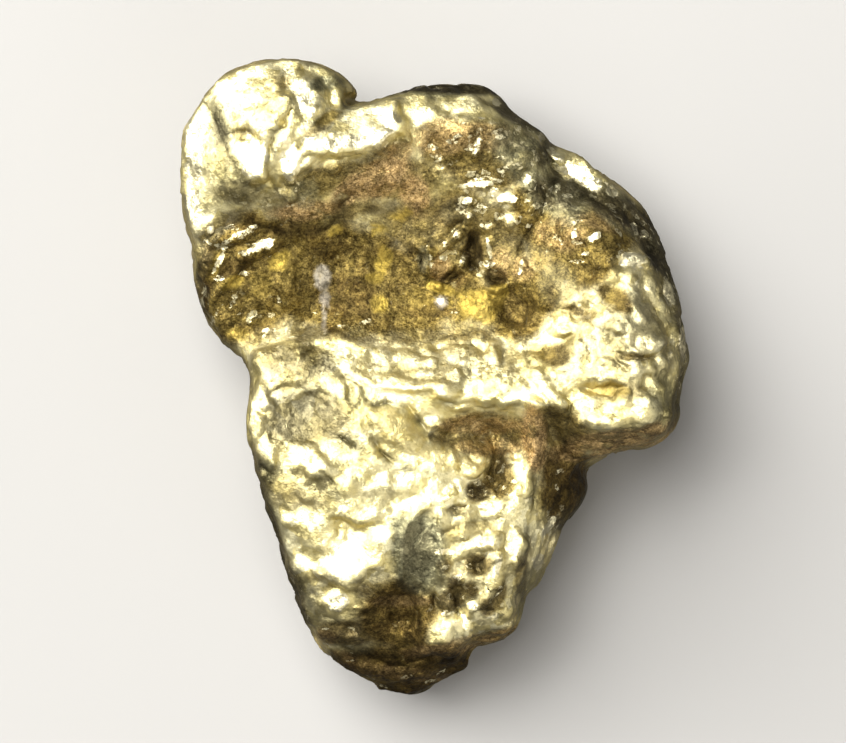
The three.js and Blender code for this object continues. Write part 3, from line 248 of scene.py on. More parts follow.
# where the metal is chunky and hackly: x, y, rx, ry, turn, strength
ROUGH = [
    (5.654, 1.213, 2.362, 2.677, 0, 0.42), (1.402, 0.425, 3.465, 1.008, 0, 0.5), (-3.953, 0.583, 1.89, 0.693, 0, 0.45), (1.717, -3.827, 1.89, 1.732, 0, 0.9),
    (1.402, -6.661, 1.89, 1.89, 0, 0.85), (-4.268, -3.197, 1.575, 1.575, 0, 0.35), (-2.693, -5.087, 2.205, 1.89, 0, 0.14), (0.772, 3.732, 1.89, 1.417, 0, 0.9),
    (2.031, 5.622, 1.575, 1.26, 0, 0.7), (-5.37, 7.827, 2.52, 2.205, 0, 0.34), (-5.276, 8.394, 1.071, 1.071, 0, 0.75), (-3.638, 8.772, 0.756, 0.756, 0, 0.6),
    (-4.583, 2.945, 3.15, 1.89, 0, 0.85), (1.087, 6.882, 2.205, 1.134, 0, 0.9), (-2.063, 6.252, 1.89, 0.945, 20, 0.5), (4.866, 4.362, 1.575, 1.134, 0, 0.7),
    (5.181, 5.937, 1.89, 0.63, -35, 0.6), (3.921, -4.457, 1.26, 1.89, 0, 0.7), (-1.118, -8.236, 3.15, 1.26, 0, 0.5), (4.866, -1.937, 2.52, 0.945, 0, 0.5),
    (-1.748, -2.567, 2.205, 0.945, 0, 0.3), (-4.016, -1.15, 1.449, 0.819, 10, 0.6), (-2.85, -2.094, 0.945, 0.63, 0, 0.5),
]
# colour patches: x, y, rx, ry, turn, strength
STAIN = [
    (-4.268, 4.047, 3.465, 1.197, 0, 1), (-2.063, 2.787, 4.724, 1.575, 0, 1), (-5.843, 2.472, 1.89, 1.417, 20, 1), (0.457, 4.677, 2.205, 1.417, 0, 0.9),
    (1.402, 6.882, 1.953, 1.134, -10, 0.95), (2.661, 2.472, 1.26, 1.197, 0, 1), (-1.118, 1.528, 3.465, 0.504, 0, 0.7), (5.087, 4.551, 1.89, 1.008, 12, 1),
    (4.551, 3.669, 1.134, 0.819, 0, 1), (3.543, 4.047, 0.819, 0.945, 0, 0.9), (5.37, 2.63, 0.378, 0.252, -35, 0.9), (5.78, 2.378, 0.252, 0.409, 25, 0.9),
    (4.299, 2.126, 0.472, 0.157, -22, 0.8), (4.74, 1.937, 0.252, 0.189, 30, 0.7), (3.669, 0.74, 0.441, 0.378, 0, 0.8), (5.811, -0.362, 0.819, 0.283, 0, 0.45),
    (6.189, 0.677, 0.567, 0.157, 0, 0.7), (1.559, -1.717, 1.638, 0.693, 0, 0.85), (3.764, -1.937, 0.945, 1.26, 0, 0.9), (2.031, -3.039, 0.441, 0.819, 0, 0.9),
    (1.339, -3.512, 0.378, 0.315, 0, 0.8), (5.496, -1.874, 1.89, 0.252, 12, 0.5), (3.984, -3.197, 0.819, 1.386, -14, 1), (-1.244, -7.291, 1.26, 1.26, 0, 1),
    (-2.693, -7.921, 1.071, 0.441, 0, 0.8), (-0.488, -9.024, 2.835, 0.819, 0, 1), (1.339, -5.78, 0.441, 0.378, 0, 0.8), (0.646, -6.661, 0.315, 0.63, 0, 0.8),
    (-3.323, 5.15, 1.89, 0.441, 10, 0.8), (-1.118, 6.252, 1.575, 0.756, 0, 0.9), (-5.937, 7.543, 0.378, 0.22, 0, 0.6), (-4.74, 9.213, 0.315, 0.252, 0, 0.6),
    (-3.48, 7.89, 0.693, 0.252, 40, 0.8), (-7.26, 2.787, 0.63, 1.89, 0, 0.5), (-3.953, -1.15, 1.197, 0.819, 0, 0.25), (-3.323, 6.189, 1.575, 0.535, 15, 0.9),
    (-1.496, 6.882, 0.945, 0.441, 20, 0.8), (2.976, 5.15, 0.693, 1.323, 10, 1), (2.031, 4.047, 0.945, 0.945, 0, 0.9), (2.535, 1.843, 0.945, 0.693, 0, 1),
    (2.031, -8.236, 1.26, 0.441, 15, 0.9), (-4.898, -3.512, 0.819, 0.378, 0, 0.3), (-0.646, -9.748, 1.89, 0.378, 0, 1), (0.236, -5.748, 0.283, 0.283, 0, 0.8),
    (1.087, -6.535, 0.283, 0.283, 0, 0.9), (1.622, -7.102, 0.283, 0.283, 0, 0.8), (2, -6.724, 0.189, 0.472, -15, 0.8), (0.331, -6.976, 0.315, 0.409, 0, 0.8),
    (2.661, -6.189, 0.22, 0.756, 5, 0.6),
]
TAN = [
    (1.465, -1.433, 1.26, 0.283, 0, 0.6), (1.717, -2.126, 1.071, 0.252, 0, 0.5), (-4.016, 5.213, 1.071, 0.283, 6, 0.9), (-2.756, 5.748, 0.693, 0.346, 35, 0.9),
    (-1.811, 6.189, 1.197, 0.535, 22, 1), (-0.646, 5.748, 0.472, 0.693, 25, 0.95), (-1.276, 6.882, 0.693, 0.378, 30, 0.6), (0.142, 7.512, 0.945, 0.567, 0, 0.6),
    (1.402, 7.512, 0.819, 0.441, 0, 0.5), (3.921, 4.488, 0.819, 0.504, 0, 0.45), (5.181, 4.866, 0.945, 0.315, -10, 0.5), (3.039, -1.874, 0.378, 1.071, 3, 1),
    (5.181, -2, 1.134, 0.315, 8, 0.8), (6.756, -1.748, 0.945, 0.378, 20, 0.9), (5.339, -2.063, 1.386, 0.441, 6, 0.9), (4.394, -2.315, 0.504, 0.283, 0, 0.8),
    (3.764, -2.315, 0.315, 0.22, 0, 0.6), (-1.118, -6.913, 0.945, 0.189, 0, 0.6), (-3.48, -8.11, 0.378, 0.252, 0, 0.6), (0.142, -8.488, 1.26, 0.22, 5, 0.7),
    (2.031, -8.047, 0.945, 0.189, 15, 0.7), (-1.118, -9.244, 1.89, 0.22, -8, 0.6), (-2.85, -8.709, 0.378, 0.157, -20, 0.6), (1.087, -8.236, 0.945, 0.22, 8, 0.5),
    (0.142, 3.417, 0.283, 0.441, -20, 0.6), (2.031, 3.575, 0.315, 0.504, 0, 0.5), (2.724, 3.417, 0.378, 0.378, 0, 0.5),
]
YELLOW = [
    (-3.165, 4.614, 0.346, 0.189, 45, 1), (-4.866, 3.669, 0.315, 0.378, -30, 0.9), (-6.283, 3.008, 0.346, 0.157, 30, 0.8), (-1.811, 4.646, 0.252, 0.189, 0, 0.9),
    (-1.118, 5.15, 0.346, 0.189, 10, 0.9), (-1.654, 3.638, 0.252, 0.441, -10, 1), (-1.874, 3.134, 0.283, 0.189, 0, 0.9), (-1.748, 2.315, 0.283, 0.283, -20, 1),
    (0.205, 2.819, 0.441, 0.157, -15, 1), (1.969, 2.724, 0.252, 0.283, -40, 1), (1.339, 2.283, 0.819, 0.472, 5, 0.75), (-6.882, 3.48, 0.126, 0.441, -25, 0.6),
    (-5.37, 2.945, 0.378, 0.441, 0, 0.2), (-0.488, 2.472, 0.63, 0.441, 0, 0.2), (-3.323, 8.047, 0.567, 0.189, 30, 0.5), (5.559, 2.409, 0.283, 0.315, 0, 0.4),
    (5.244, -0.362, 0.693, 0.22, 0, 0.6), (-1.118, -1.622, 1.197, 0.441, -38, 0.35), (1.087, -4.614, 0.945, 0.189, 5, 0.4), (3.291, 0.835, 0.378, 0.252, 0, 0.4),
    (-6.157, 1.37, 0.378, 0.189, 0, 0.4), (-1.118, -1.622, 0.945, 0.378, -38, 0.25), (-4.268, -3.827, 0.945, 0.378, 0, 0.2), (-0.016, -2.409, 0.756, 0.315, -30, 0.3),
]
# painted dark reflection: grey patches on the shelf, the rims and low on the body stand for the dark surroundings
# mirrored in the metal
GREY_REFLECTION = [
    (-6.661, 7.827, 0.283, 0.756, 18, 0.8), (-6.283, 6.094, 0.441, 0.819, 10, 0.45), (-3.417, 9.15, 0.535, 0.252, 15, 0.9), (3.449, 6.252, 1.89, 0.819, -40, 0.75),
    (5.811, 5.15, 1.575, 0.567, -32, 0.75), (7.228, 3.732, 0.441, 1.26, 15, 0.8), (7.858, 1.055, 0.315, 1.417, 0, 0.6), (0.142, 9.024, 1.89, 0.283, 0, 0.7),
    (2.661, 8.205, 1.134, 0.378, -30, 0.7), (-0.583, -5.276, 0.882, 1.323, 4, 1), (-0.677, -4.583, 0.787, 0.472, 0, 1), (-5.087, -4.929, 0.378, 1.89, 12, 0.6),
    (6.787, 4.047, 0.346, 1.008, 27, 0.85), (-4.079, 5.78, 0.441, 0.441, 0, 0.6), (-5.15, 5.622, 0.504, 0.378, 0, 0.4), (-4.016, -1.055, 1.26, 0.882, 15, 0.45),
    (-5.213, -2.882, 0.441, 0.378, 0, 0.6), (-2.504, -0.52, 0.378, 0.441, 0, 0.5), (-2.693, -2, 0.504, 0.252, -20, 0.5), (-0.394, 3.701, 0.157, 0.409, 0, 0.8),
    (0.614, 5.15, 0.504, 0.378, 0, 0.4), (-4.268, -6.976, 0.441, 1.26, 12, 0.4), (-3.323, -3.354, 0.504, 0.252, -40, 0.4), (3.764, 2.945, 0.567, 0.693, -20, 0.3),
    (2.976, -6.661, 0.441, 0.945, -20, 0.5), (7.071, -0.677, 0.504, 0.945, 20, 0.5),
]
WHITE = [
    (-3.543, 3.165, 0.252, 0.409, 5, 1.15), (-3.449, 2.504, 0.157, 0.252, 0, 1), (-3.48, 1.843, 0.079, 0.472, 3, 0.8), (0.173, 2.378, 0.189, 0.189, 0, 0.9),
]
# darkened patches: partly real tarnish and rusty stain, partly painted shade on the bottom, the flanks, hollows and
# spots toned down where they would look too bright
TARNISH_AND_SHADE = [
    (-1.276, -7.669, 1.071, 1.386, 0, 0.62), (-1.118, -8.992, 2.52, 0.567, -3, 0.85), (-2.85, -9.244, 0.63, 0.504, 30, 0.7), (-2.693, -7.984, 0.945, 0.441, 0, 0.6),
    (1.339, -1.748, 1.449, 0.567, 0, 0.04), (0.142, 9.087, 1.89, 0.22, -3, 0.95), (-1.748, 8.898, 0.567, 0.157, 0, 0.5), (-4.583, -6.976, 0.378, 1.449, 18, 0.85),
    (-5.465, -3.197, 0.283, 1.26, 10, 0.6), (-7.323, 2.724, 0.315, 1.449, -12, 0.75), (-6.63, 1.055, 0.441, 0.315, -30, 0.5), (-6.63, 7.512, 0.252, 1.071, 14, 0.5),
    (7.512, -0.677, 0.252, 1.071, -10, 0.6), (7.449, 2.157, 0.189, 0.945, 10, 0.3), (2.409, 8.614, 0.378, 0.189, -30, 0.8), (2.031, -2.945, 0.283, 0.819, 0, 0.5),
    (1.339, -3.512, 0.378, 0.315, 0, 0.7), (0.677, -4.079, 0.378, 0.189, 0, 0.6), (4.299, -3.827, 0.63, 1.26, -20, 0.9), (3.795, -3.197, 0.504, 0.945, 0, 0.7),
    (1.213, 3.984, 0.283, 0.693, 0, 0.8), (2.63, 2.094, 0.693, 0.567, -20, 0.28), (0.614, 3.102, 0.378, 0.283, 0, 0.6), (1.937, 3.134, 0.283, 0.252, 0, 0.6),
    (-0.394, 3.669, 0.126, 0.378, 0, 0.6), (-0.173, 2.094, 0.819, 0.189, 0, 0.5), (-3.165, 4.803, 0.567, 0.189, 40, 0.4), (-4.268, 4.614, 1.071, 0.252, 0, 0.6),
    (-2.85, 5.244, 0.378, 0.63, 0, 0.5), (-1.276, 5.244, 0.945, 0.252, 0, 0.5), (-6.157, 4.929, 0.63, 0.315, -10, 0.6), (-6.315, 3.48, 0.567, 0.252, 20, 0.5),
    (-4.268, 1.37, 0.567, 0.315, 0, 0.5), (0.457, 5.15, 0.567, 0.441, 0, 0.5), (1.339, -5.717, 0.378, 0.315, 0, 0.5), (0.646, -6.661, 0.252, 0.567, 0, 0.6),
    (4.425, 2.094, 0.378, 0.126, -22, 0.6), (5.78, 2.346, 0.22, 0.346, 22, 0.75), (3.764, 0.709, 0.378, 0.315, 0, 0.5), (3.606, 2.472, 0.126, 0.504, 0, 0.4),
    (-6.157, 5.78, 0.819, 0.378, 0, 0.5), (-3.953, 4.11, 0.63, 0.315, 0, 0), (-2.693, 2.472, 0.945, 0.693, 0, 0.5), (-4.268, 1.465, 1.89, 0.315, -4, 0.35),
    (-3.323, 4.047, 0.63, 0.378, 0, 0.3), (-1.118, 4.047, 0.693, 0.315, 0, 0.3), (-4.898, 5.465, 0.441, 0.378, 0, 0.4), (5.654, 5.307, 1.575, 0.441, -28, 0.72),
    (3.921, 5.937, 0.819, 0.63, -30, 0.65), (2.661, 8.205, 1.071, 0.283, -25, 0.65), (3.543, 7.197, 0.252, 0.756, -20, 0.6), (-2.378, -8.709, 1.26, 0.189, -8, 0.3),
    (2.661, -8.551, 0.819, 0.441, 0, 0.7), (7.071, 3.102, 0.283, 0.945, 15, 0.4), (-4.74, -3.134, 0.693, 0.315, 0, 0.3), (4.866, 2.472, 0.504, 0.378, 0, 0.35),
    (8.016, 1.528, 0.189, 1.89, 0, 0.3), (-4.74, 1.843, 0.945, 0.189, 0, 0.2), (-4.583, -6.913, 0.567, 1.449, 18, 0.8), (-4.11, -1.244, 1.575, 0.945, 10, 0.48),
    (-4.268, 0.268, 1.89, 0.819, 0, 0.4), (-2.85, -2.094, 1.071, 0.756, 0, 0.2), (-1.118, -1.937, 0.945, 0.756, 0, 0.12), (-2.693, -3.512, 1.89, 0.693, 0, 0.15),
    (-4.268, 0.52, 1.512, 0.567, 0, 0.74), (-4.268, -3.449, 1.071, 0.693, 0, 0.3), (-3.323, -6.189, 0.504, 0.378, 0, 0.3), (-2, -2.882, 1.26, 0.441, -10, 0.16),
    (5.496, 1.055, 1.638, 1.953, 0, 0.38), (1.087, 0.425, 3.465, 0.756, 0, 0.26), (4.866, 2.472, 0.756, 0.378, 0, 0.3), (-0.551, -5.244, 0.567, 0.945, 0, 0.3),
    (2.031, 2.472, 0.441, 0.441, 0, 0.3), (-5.276, 7.89, 1.89, 1.89, 0, 0.14), (-3.008, -3.984, 1.575, 0.882, 0, 0.1), (1.559, -5.717, 1.417, 1.89, 0, 0.18),
    (-5.087, -4.929, 0.283, 1.89, 12, 0.7), (-3.953, -6.976, 0.63, 0.945, 10, 0.3), (-0.646, -9.78, 1.386, 0.283, 0, 0.85), (7.134, 3.669, 0.378, 1.071, 22, 0.75),
    (7.669, 1.843, 0.252, 1.071, 8, 0.6), (0.236, -5.717, 0.252, 0.252, 0, 0.45), (1.402, -5.622, 0.409, 0.252, 0, 0.3), (0.362, -6.913, 0.252, 0.378, 0, 0.4),
    (1.087, -6.472, 0.22, 0.22, 0, 0.55), (1.622, -7.071, 0.22, 0.283, 0, 0.45), (2, -6.661, 0.157, 0.441, -15, 0.5), (2.661, -6.189, 0.189, 0.819, 5, 0.4),
    (5.559, -1.055, 1.26, 0.378, 0, 0.12), (6.787, 3.984, 0.315, 1.008, 27, 0.85), (7.197, 2.913, 0.189, 0.693, 18, 0.6),
]
# bare bright blades and corners inside the stained ground
BARE = [
    (-6.031, 4.488, 0.535, 0.126, 28, 0.51), (-5.433, 4.142, 0.472, 0.189, 20, 0.54), (-7.008, 4.614, 0.126, 0.157, 0, 0.66), (1.276, 7.197, 0.094, 0.346, -15, 0.57),
    (0.142, 6.504, 0.157, 0.126, 0, 0.57), (2.85, 6.157, 0.189, 0.252, -20, 0.57), (1.433, 6.063, 0.409, 0.126, 0, 0.66), (2.126, 5.622, 0.409, 0.157, -8, 0.74),
    (0.929, 5.528, 0.189, 0.126, 0, 0.57), (2.252, 4.992, 0.315, 0.189, 15, 0.57), (1.622, 4.803, 0.157, 0.126, 30, 0.57), (0.236, 3.795, 0.126, 0.126, 0, 0.57),
    (0.142, 2.409, 0.126, 0.126, 0, 0.66), (4.929, 4.425, 0.283, 0.157, 35, 0.74), (4.299, 4.457, 0.126, 0.157, 0, 0.57), (6.063, 3.669, 0.535, 0.252, 10, 0.82),
    (4.52, 6.346, 0.882, 0.283, -27, 0.82), (3.795, 6.945, 0.378, 0.189, -45, 0.66), (5.528, 5.874, 0.22, 0.189, -50, 0.66), (1.906, 8.646, 0.157, 0.157, 0, 0.66),
    (3.323, 7.575, 0.126, 0.22, 20, 0.66), (3.543, 5.811, 0.094, 0.22, -25, 0.57), (3.795, 5.937, 0.094, 0.189, -25, 0.57), (6.22, 4.74, 0.094, 0.189, 20, 0.57),
    (6.535, 4.488, 0.189, 0.157, -40, 0.57), (3.543, -4.614, 0.126, 0.409, -32, 0.9), (3.197, -5.717, 0.189, 0.283, -20, 0.9), (7.291, 2.724, 0.189, 0.567, 8, 0.7),
    (7.732, 1.118, 0.157, 0.63, 0, 0.7), (-3.071, -6.913, 0.378, 0.346, 30, 0.9), (-6.724, 3.669, 0.094, 0.441, -28, 0.7), (-7.26, 2.535, 0.094, 0.504, -12, 0.5),
    (-6.283, 2.472, 0.094, 0.409, -30, 0.6), (-6.913, 1.906, 0.094, 0.315, -25, 0.5), (-5.78, 1.906, 0.126, 0.283, -30, 0.6), (-2.85, 1.654, 0.252, 0.094, 10, 0.6),
    (-6.535, 4.173, 0.126, 0.283, -40, 0.6), (-4.268, 1.276, 0.504, 0.094, 4, 0.5), (-5.276, 1.465, 0.126, 0.252, -30, 0.5), (0.614, 4.488, 0.126, 0.252, 20, 0.5),
    (0.835, 3.669, 0.094, 0.283, -20, 0.5), (1.654, 4.047, 0.094, 0.378, 10, 0.55), (-0.173, 3.669, 0.094, 0.252, 5, 0.5), (2.661, 3.48, 0.094, 0.315, -15, 0.45),
    (-4.898, 2.472, 0.094, 0.157, 0, 0.5), (-2.693, 1.654, 0.126, 0.126, 0, 0.6), (-1.118, 8.898, 0.157, 0.094, 0, 0.6), (-0.173, 9.087, 0.157, 0.094, 0, 0.5),
    (1.906, -5.78, 0.094, 0.409, -20, 0.8), (0.803, -7.354, 0.094, 0.409, 12, 0.8), (0.268, -5.37, 0.346, 0.094, -5, 0.7), (1.402, -5.118, 0.504, 0.094, 6, 0.7),
    (1.213, -7.071, 0.126, 0.126, 0, 0.8), (-2.693, 7.291, 1.449, 0.252, 2, 0.9), (-1.433, 7.827, 0.283, 0.567, -40, 0.9), (-4.52, 6.693, 0.283, 0.756, 12, 0.9),
    (-3.953, 8.394, 0.283, 0.441, 30, 0.7), (-5.654, 6.787, 0.441, 0.693, 10, 0.8), (-6.409, 8.992, 0.409, 0.283, 25, 0.8), (-7.512, 6.945, 0.315, 1.323, -3, 0.9),
    (-7.543, 5.465, 0.283, 0.693, 4, 0.9),
]
# ground scattered with small bare flecks: last number is their share
FLECKS = [
    (2.031, 5.78, 1.386, 1.26, 0, 0.75), (1.087, 7.197, 1.575, 0.945, 0, 0.4), (4.866, 4.362, 1.449, 0.819, 10, 0.3), (4.866, 5.937, 1.89, 0.756, -35, 0.3),
    (6.756, 3.417, 0.756, 1.575, 15, 0.4), (0.457, 3.102, 1.575, 1.26, 0, 0.25), (-6.157, 3.417, 1.449, 1.575, 0, 0.22), (-4.268, 1.528, 2.205, 0.63, 0, 0.3),
    (0.142, 8.961, 1.89, 0.315, 0, 0.4), (2.976, 7.512, 0.945, 0.945, -40, 0.4), (7.543, 1.213, 0.441, 1.89, 0, 0.5), (1.717, -3.512, 1.575, 0.945, 0, 0.4),
    (1.087, -6.661, 1.26, 1.26, 0, 0.35), (3.606, -4.457, 0.63, 1.575, -15, 0.3), (-3.008, -8.236, 1.26, 0.63, 0, 0.25), (-1.118, -9.496, 1.89, 0.504, 0, 0.25),
    (-4.268, -6.976, 0.63, 1.26, 0, 0.3), (-3.323, 4.047, 1.89, 1.26, 0, 0.12), (-5.213, 5.622, 1.26, 0.504, 0, 0.3),
]

VOXEL = 0.074
TRIANGLES = 196000


# ---------------------------------------------------------------- noise
def mix_bits(*ints, seed=0):
    h = np.full(ints[0].shape, np.uint32(2166136261 ^ (seed * 7919)), np.uint32)
    for k, v in enumerate(ints):
        h ^= v.astype(np.int64).astype(np.uint32) + np.uint32(0x9E3779B9 * (k + 1) & 0xFFFFFFFF)
        h *= np.uint32(0x85EBCA6B)
        h ^= h >> np.uint32(13)
        h *= np.uint32(0xC2B2AE35)
        h ^= h >> np.uint32(16)
    return h


def unit(h):
    return h.astype(np.float32) / np.float32(4294967295.0)


def value_noise(p, scale, seed):
    """Smooth noise in -1..1 at points p (n, 2 or 3), lattice spacing scale."""
    q = p / scale
    i = np.floor(q).astype(np.int64)
    f = (q - i).astype(np.float32)
    w = f * f * f * (f * (f * 6 - 15) + 10)
    out = np.zeros(len(p), np.float32)
    for c in range(2 ** p.shape[1]):
        bits = [(c >> a) & 1 for a in range(p.shape[1])]
        weight = np.ones(len(p), np.float32)
        for a, b in enumerate(bits):
            weight *= w[:, a] if b else 1 - w[:, a]
        out += weight * unit(mix_bits(*[i[:, a] + b for a, b in enumerate(bits)], seed=seed))
    return out * 2 - 1


def octaves(p, scale, seed, n=3, gain=0.5):
    out, amp, total = 0, 1.0, 0.0
    for k in range(n):
        out = out + amp * value_noise(p + 11.3 * k, scale / 2**k, seed + k)
        total += amp
        amp *= gain
    return out / total


def cells(p, scale, seed):
    """Nearest and second nearest distance (in cells), and the nearest cell's own number."""
    q = p / scale
    i = np.floor(q).astype(np.int64)
    dim = p.shape[1]
    f1 = np.full(len(p), 9.0, np.float32)
    f2 = np.full(len(p), 9.0, np.float32)
    who = np.zeros(len(p), np.uint32)
    for c in range(3**dim):
        off = [(c // 3**a) % 3 - 1 for a in range(dim)]
        g = [i[:, a] + off[a] for a in range(dim)]
        h = mix_bits(*g, seed=seed)
        d2 = np.zeros(len(p), np.float32)
        for a in range(dim):
            jitter = unit(mix_bits(*g, seed=seed + 17 + a)) * 0.86 + 0.07
            d2 += (g[a] + jitter - q[:, a]).astype(np.float32) ** 2
        d = np.sqrt(d2)
        near = d < f1
        f2 = np.where(near, f1, np.minimum(f2, d))
        who = np.where(near, h, who)
        f1 = np.where(near, d, f1)
    return f1, f2, who


def facets_noise(p, scale, seed, steep=0.9, bulge=0.7):
    """Highest of many tilted planes, one in each cell: flat chips that meet in creases."""
    q = p / scale
    i = np.floor(q).astype(np.int64)
    dim = p.shape[1]
    best = np.full(len(p), -9.0, np.float32)
    for c in range(3**dim):
        off = [(c // 3**a) % 3 - 1 for a in range(dim)]
        g = [i[:, a] + off[a] for a in range(dim)]
        height = unit(mix_bits(*g, seed=seed)) * 0.7
        d2 = 0
        for a in range(dim):
            d = (q[:, a] - g[a] - unit(mix_bits(*g, seed=seed + 31 + a)) * 0.86 - 0.07).astype(np.float32)
            slope = (unit(mix_bits(*g, seed=seed + 61 + a)) - 0.5) * 2 * steep
            height = height + slope * d
            d2 = d2 + d * d
        best = np.maximum(best, height - bulge * d2)
    return best


# ---------------------------------------------------------------- plan maps
STEP = 0.04
gx = np.arange(-8.8, 8.8 + STEP, STEP)
gy = np.arange(-10.8, 10.8 + STEP, STEP)
X, Y = np.meshgrid(gx, gy, indexing="ij")
shape2 = X.shape
X, Y = X.ravel(), Y.ravel()


def spline(points, closed, n):
    p = np.array(points, float)
    if not closed:
        p = np.vstack([2 * p[0] - p[1], p, 2 * p[-1] - p[-2]])
    out = []
    count = len(p) if closed else len(p) - 3
    for k in range(count):
        a, b, c, d = (p[(k + j + (0 if not closed else -1)) % len(p)] for j in range(4))
        for t in np.arange(n) / n:
            out.append(0.5 * (2 * b + (c - a) * t + (2 * a - 5 * b + 4 * c - d) * t * t + (-a + 3 * b - 3 * c + d) * t**3))
    if not closed:
        out.append(p[-2])
    return np.array(out)


def path_distance(x, y, path, closed=False):
    best = np.full(len(x), 1e9)
    ends = np.roll(path, -1, 0) if closed else path[1:]
    for (x0, y0), (x1, y1) in zip(path if closed else path[:-1], ends):
        dx, dy = x1 - x0, y1 - y0
        t = np.clip(((x - x0) * dx + (y - y0) * dy) / (dx * dx + dy * dy + 1e-12), 0, 1)
        best = np.minimum(best, (x - x0 - t * dx) ** 2 + (y - y0 - t * dy) ** 2)
    return np.sqrt(best)


def inside_polygon(x, y, path):
    hit = np.zeros(len(x), bool)
    for (x0, y0), (x1, y1) in zip(path, np.roll(path, -1, 0)):
        if y0 != y1:
            hit ^= ((y0 > y) != (y1 > y)) & (x < (x1 - x0) * (y - y0) / (y1 - y0) + x0)
    return hit


def thin_plate(points, smoothing):
    p = np.array(points, float)
    n = len(p)
    d2 = ((p[:, None, :2] - p[None, :, :2]) ** 2).sum(-1)
    m = np.zeros((n + 3, n + 3))
    m[:n, :n] = 0.5 * d2 * np.log(d2 + 1e-9) + np.eye(n) * smoothing
    m[:n, n] = m[n, :n] = 1
    m[:n, n + 1 :] = p[:, :2]
    m[n + 1 :, :n] = p[:, :2].T
    w = np.linalg.solve(m, np.concatenate([p[:, 2], [0, 0, 0]]))

    def at(x, y):
        z = w[n] + w[n + 1] * x + w[n + 2] * y
        for (px, py, _), k in zip(p, w):
            e2 = (x - px) ** 2 + (y - py) ** 2
            z = z + k * 0.5 * e2 * np.log(e2 + 1e-9)
        return z

    return at


def rim_value(x, y, column):
    total, weight = 0, 0
    for place in RIM:
        w = 1 / ((x - place[0]) ** 2 + (y - place[1]) ** 2 + 0.9) ** 2
        total = total + w * place[column]
        weight = weight + w
    return total / weight


def ellipse(x, y, cx, cy, rx, ry, turn):
    a = math.radians(turn)
    dx, dy = x - cx, y - cy
    u = (dx * math.cos(a) + dy * math.sin(a)) / rx
    v = (-dx * math.sin(a) + dy * math.cos(a)) / ry
    return dx, dy, u, v


def corners(u, v, key, wobble=0.0):
    """Distance from the middle of a rough polygon with 5 to 7 sides: 1 on its edge."""
    rng = np.random.default_rng(key)
    n = rng.integers(5, 8)
    start = rng.uniform(0, 2 * math.pi)
    r = np.full(len(u), -9.0)
    for k in range(n):
        a = start + (k + rng.uniform(-0.28, 0.28)) * 2 * math.pi / n
        r = np.maximum(r, (u * math.cos(a) + v * math.sin(a)) / rng.uniform(0.78, 1.12))
    return np.maximum(r, 0) * (1 + wobble)


def smooth(t):
    t = np.clip(t, 0, 1)
    return t * t * (3 - 2 * t)


P2 = np.stack([X, Y], 1)
outline = spline(OUTLINE, True, 4)
# the drawn outline, with small nicks and lumps as on worn metal
edge = path_distance(X, Y, outline, True)
edge = np.where(inside_polygon(X, Y, outline), edge, -edge)
drawn = edge.reshape(shape2)
# the smooth body stands a little inside the outline and the relief on its flanks fills it out
edge = edge - 0.12 + 0.035 * octaves(P2, 0.9, 5, 3)
rough_map = np.zeros(len(X))
for cx, cy, rx, ry, turn, s in ROUGH:
    _, _, u, v = ellipse(X, Y, cx, cy, rx, ry, turn)
    rough_map = np.maximum(rough_map, s * smooth((1.25 - np.sqrt(u * u + v * v)) / 0.6))

wx = X + 0.12 * octaves(P2, 0.8, 21, 2) + 0.055 * octaves(P2, 0.3, 23, 2)
wy = Y + 0.12 * octaves(P2, 0.8, 31, 2) + 0.055 * octaves(P2, 0.3, 33, 2)
PW = np.stack([wx, wy], 1)

top = thin_plate(UPPER, 0.03)(X, Y)
top += 0.10 * octaves(PW, 2.2, 41, 3)
for cx, cy, rx, ry, turn, h in MOUNDS:
    _, _, u, v = ellipse(wx, wy, cx, cy, rx * 1.25, ry * 1.25, turn)
    top += h * smooth(1 - (u * u + v * v) ** 0.75)
vary = 1 + 0.45 * value_noise(P2, 0.8, 51)
for half, h, path in FOLDS:
    d = path_distance(wx, wy, spline(path, False, 5)) / (half * 1.35 * (1 + 0.25 * value_noise(P2, 0.6, 52)))
    top += h * vary * np.exp(-(d**1.6) * 1.4)
# chunky relief before the facets cut through it
chunk = facets_noise(PW, 0.62, 61, 1.3, 0.7)
flake = facets_noise(PW * np.array([1.0, 0.62]), 0.34, 62, 1.3, 0.7)
top += rough_map * (0.12 * (chunk - 0.3) + 0.05 * (flake - 0.3))
ragged = 0.26 * octaves(P2, 0.4, 71, 3)
for n, (cx, cy, rx, ry, turn, sx, sy, soft) in enumerate(FACETS):
    dx, dy, u, v = ellipse(wx, wy, cx, cy, rx, ry, turn)
    r = corners(u, v, 700 + n, ragged)
    soft = soft * 1.9
    w = smooth((1 + soft * 0.75 - r) / (soft * 1.4))
    core = w > 0.5
    if not core.any():
        continue
    level = np.average(top[core], weights=w[core]) + 0.03
    plane = level + sx * dx + sy * dy
    top = top * (1 - w) + (plane + (top - level) * 0.22) * w
for n, (cx, cy, rx, ry, turn, h) in enumerate(PITS):
    _, _, u, v = ellipse(wx, wy, cx, cy, rx, ry, turn)
    r = corners(u, v, 900 + n, ragged)
    lean = 1 + 0.35 * (u * math.cos(n) + v * math.sin(n))
    top -= h * np.clip(lean, 0.3, 1.7) * smooth((1.25 - r) / 0.85)
broken = smooth(0.62 + 0.9 * value_noise(P2, 0.55, 92))
for half, h, path in CREVICES:
    d = path_distance(wx, wy, spline(path, False, 5)) / (half * 0.85 * (1 + 0.35 * value_noise(P2, 0.5, 91)))
    top -= h * 0.6 * broken * np.exp(-(d**1.1) * 1.7)

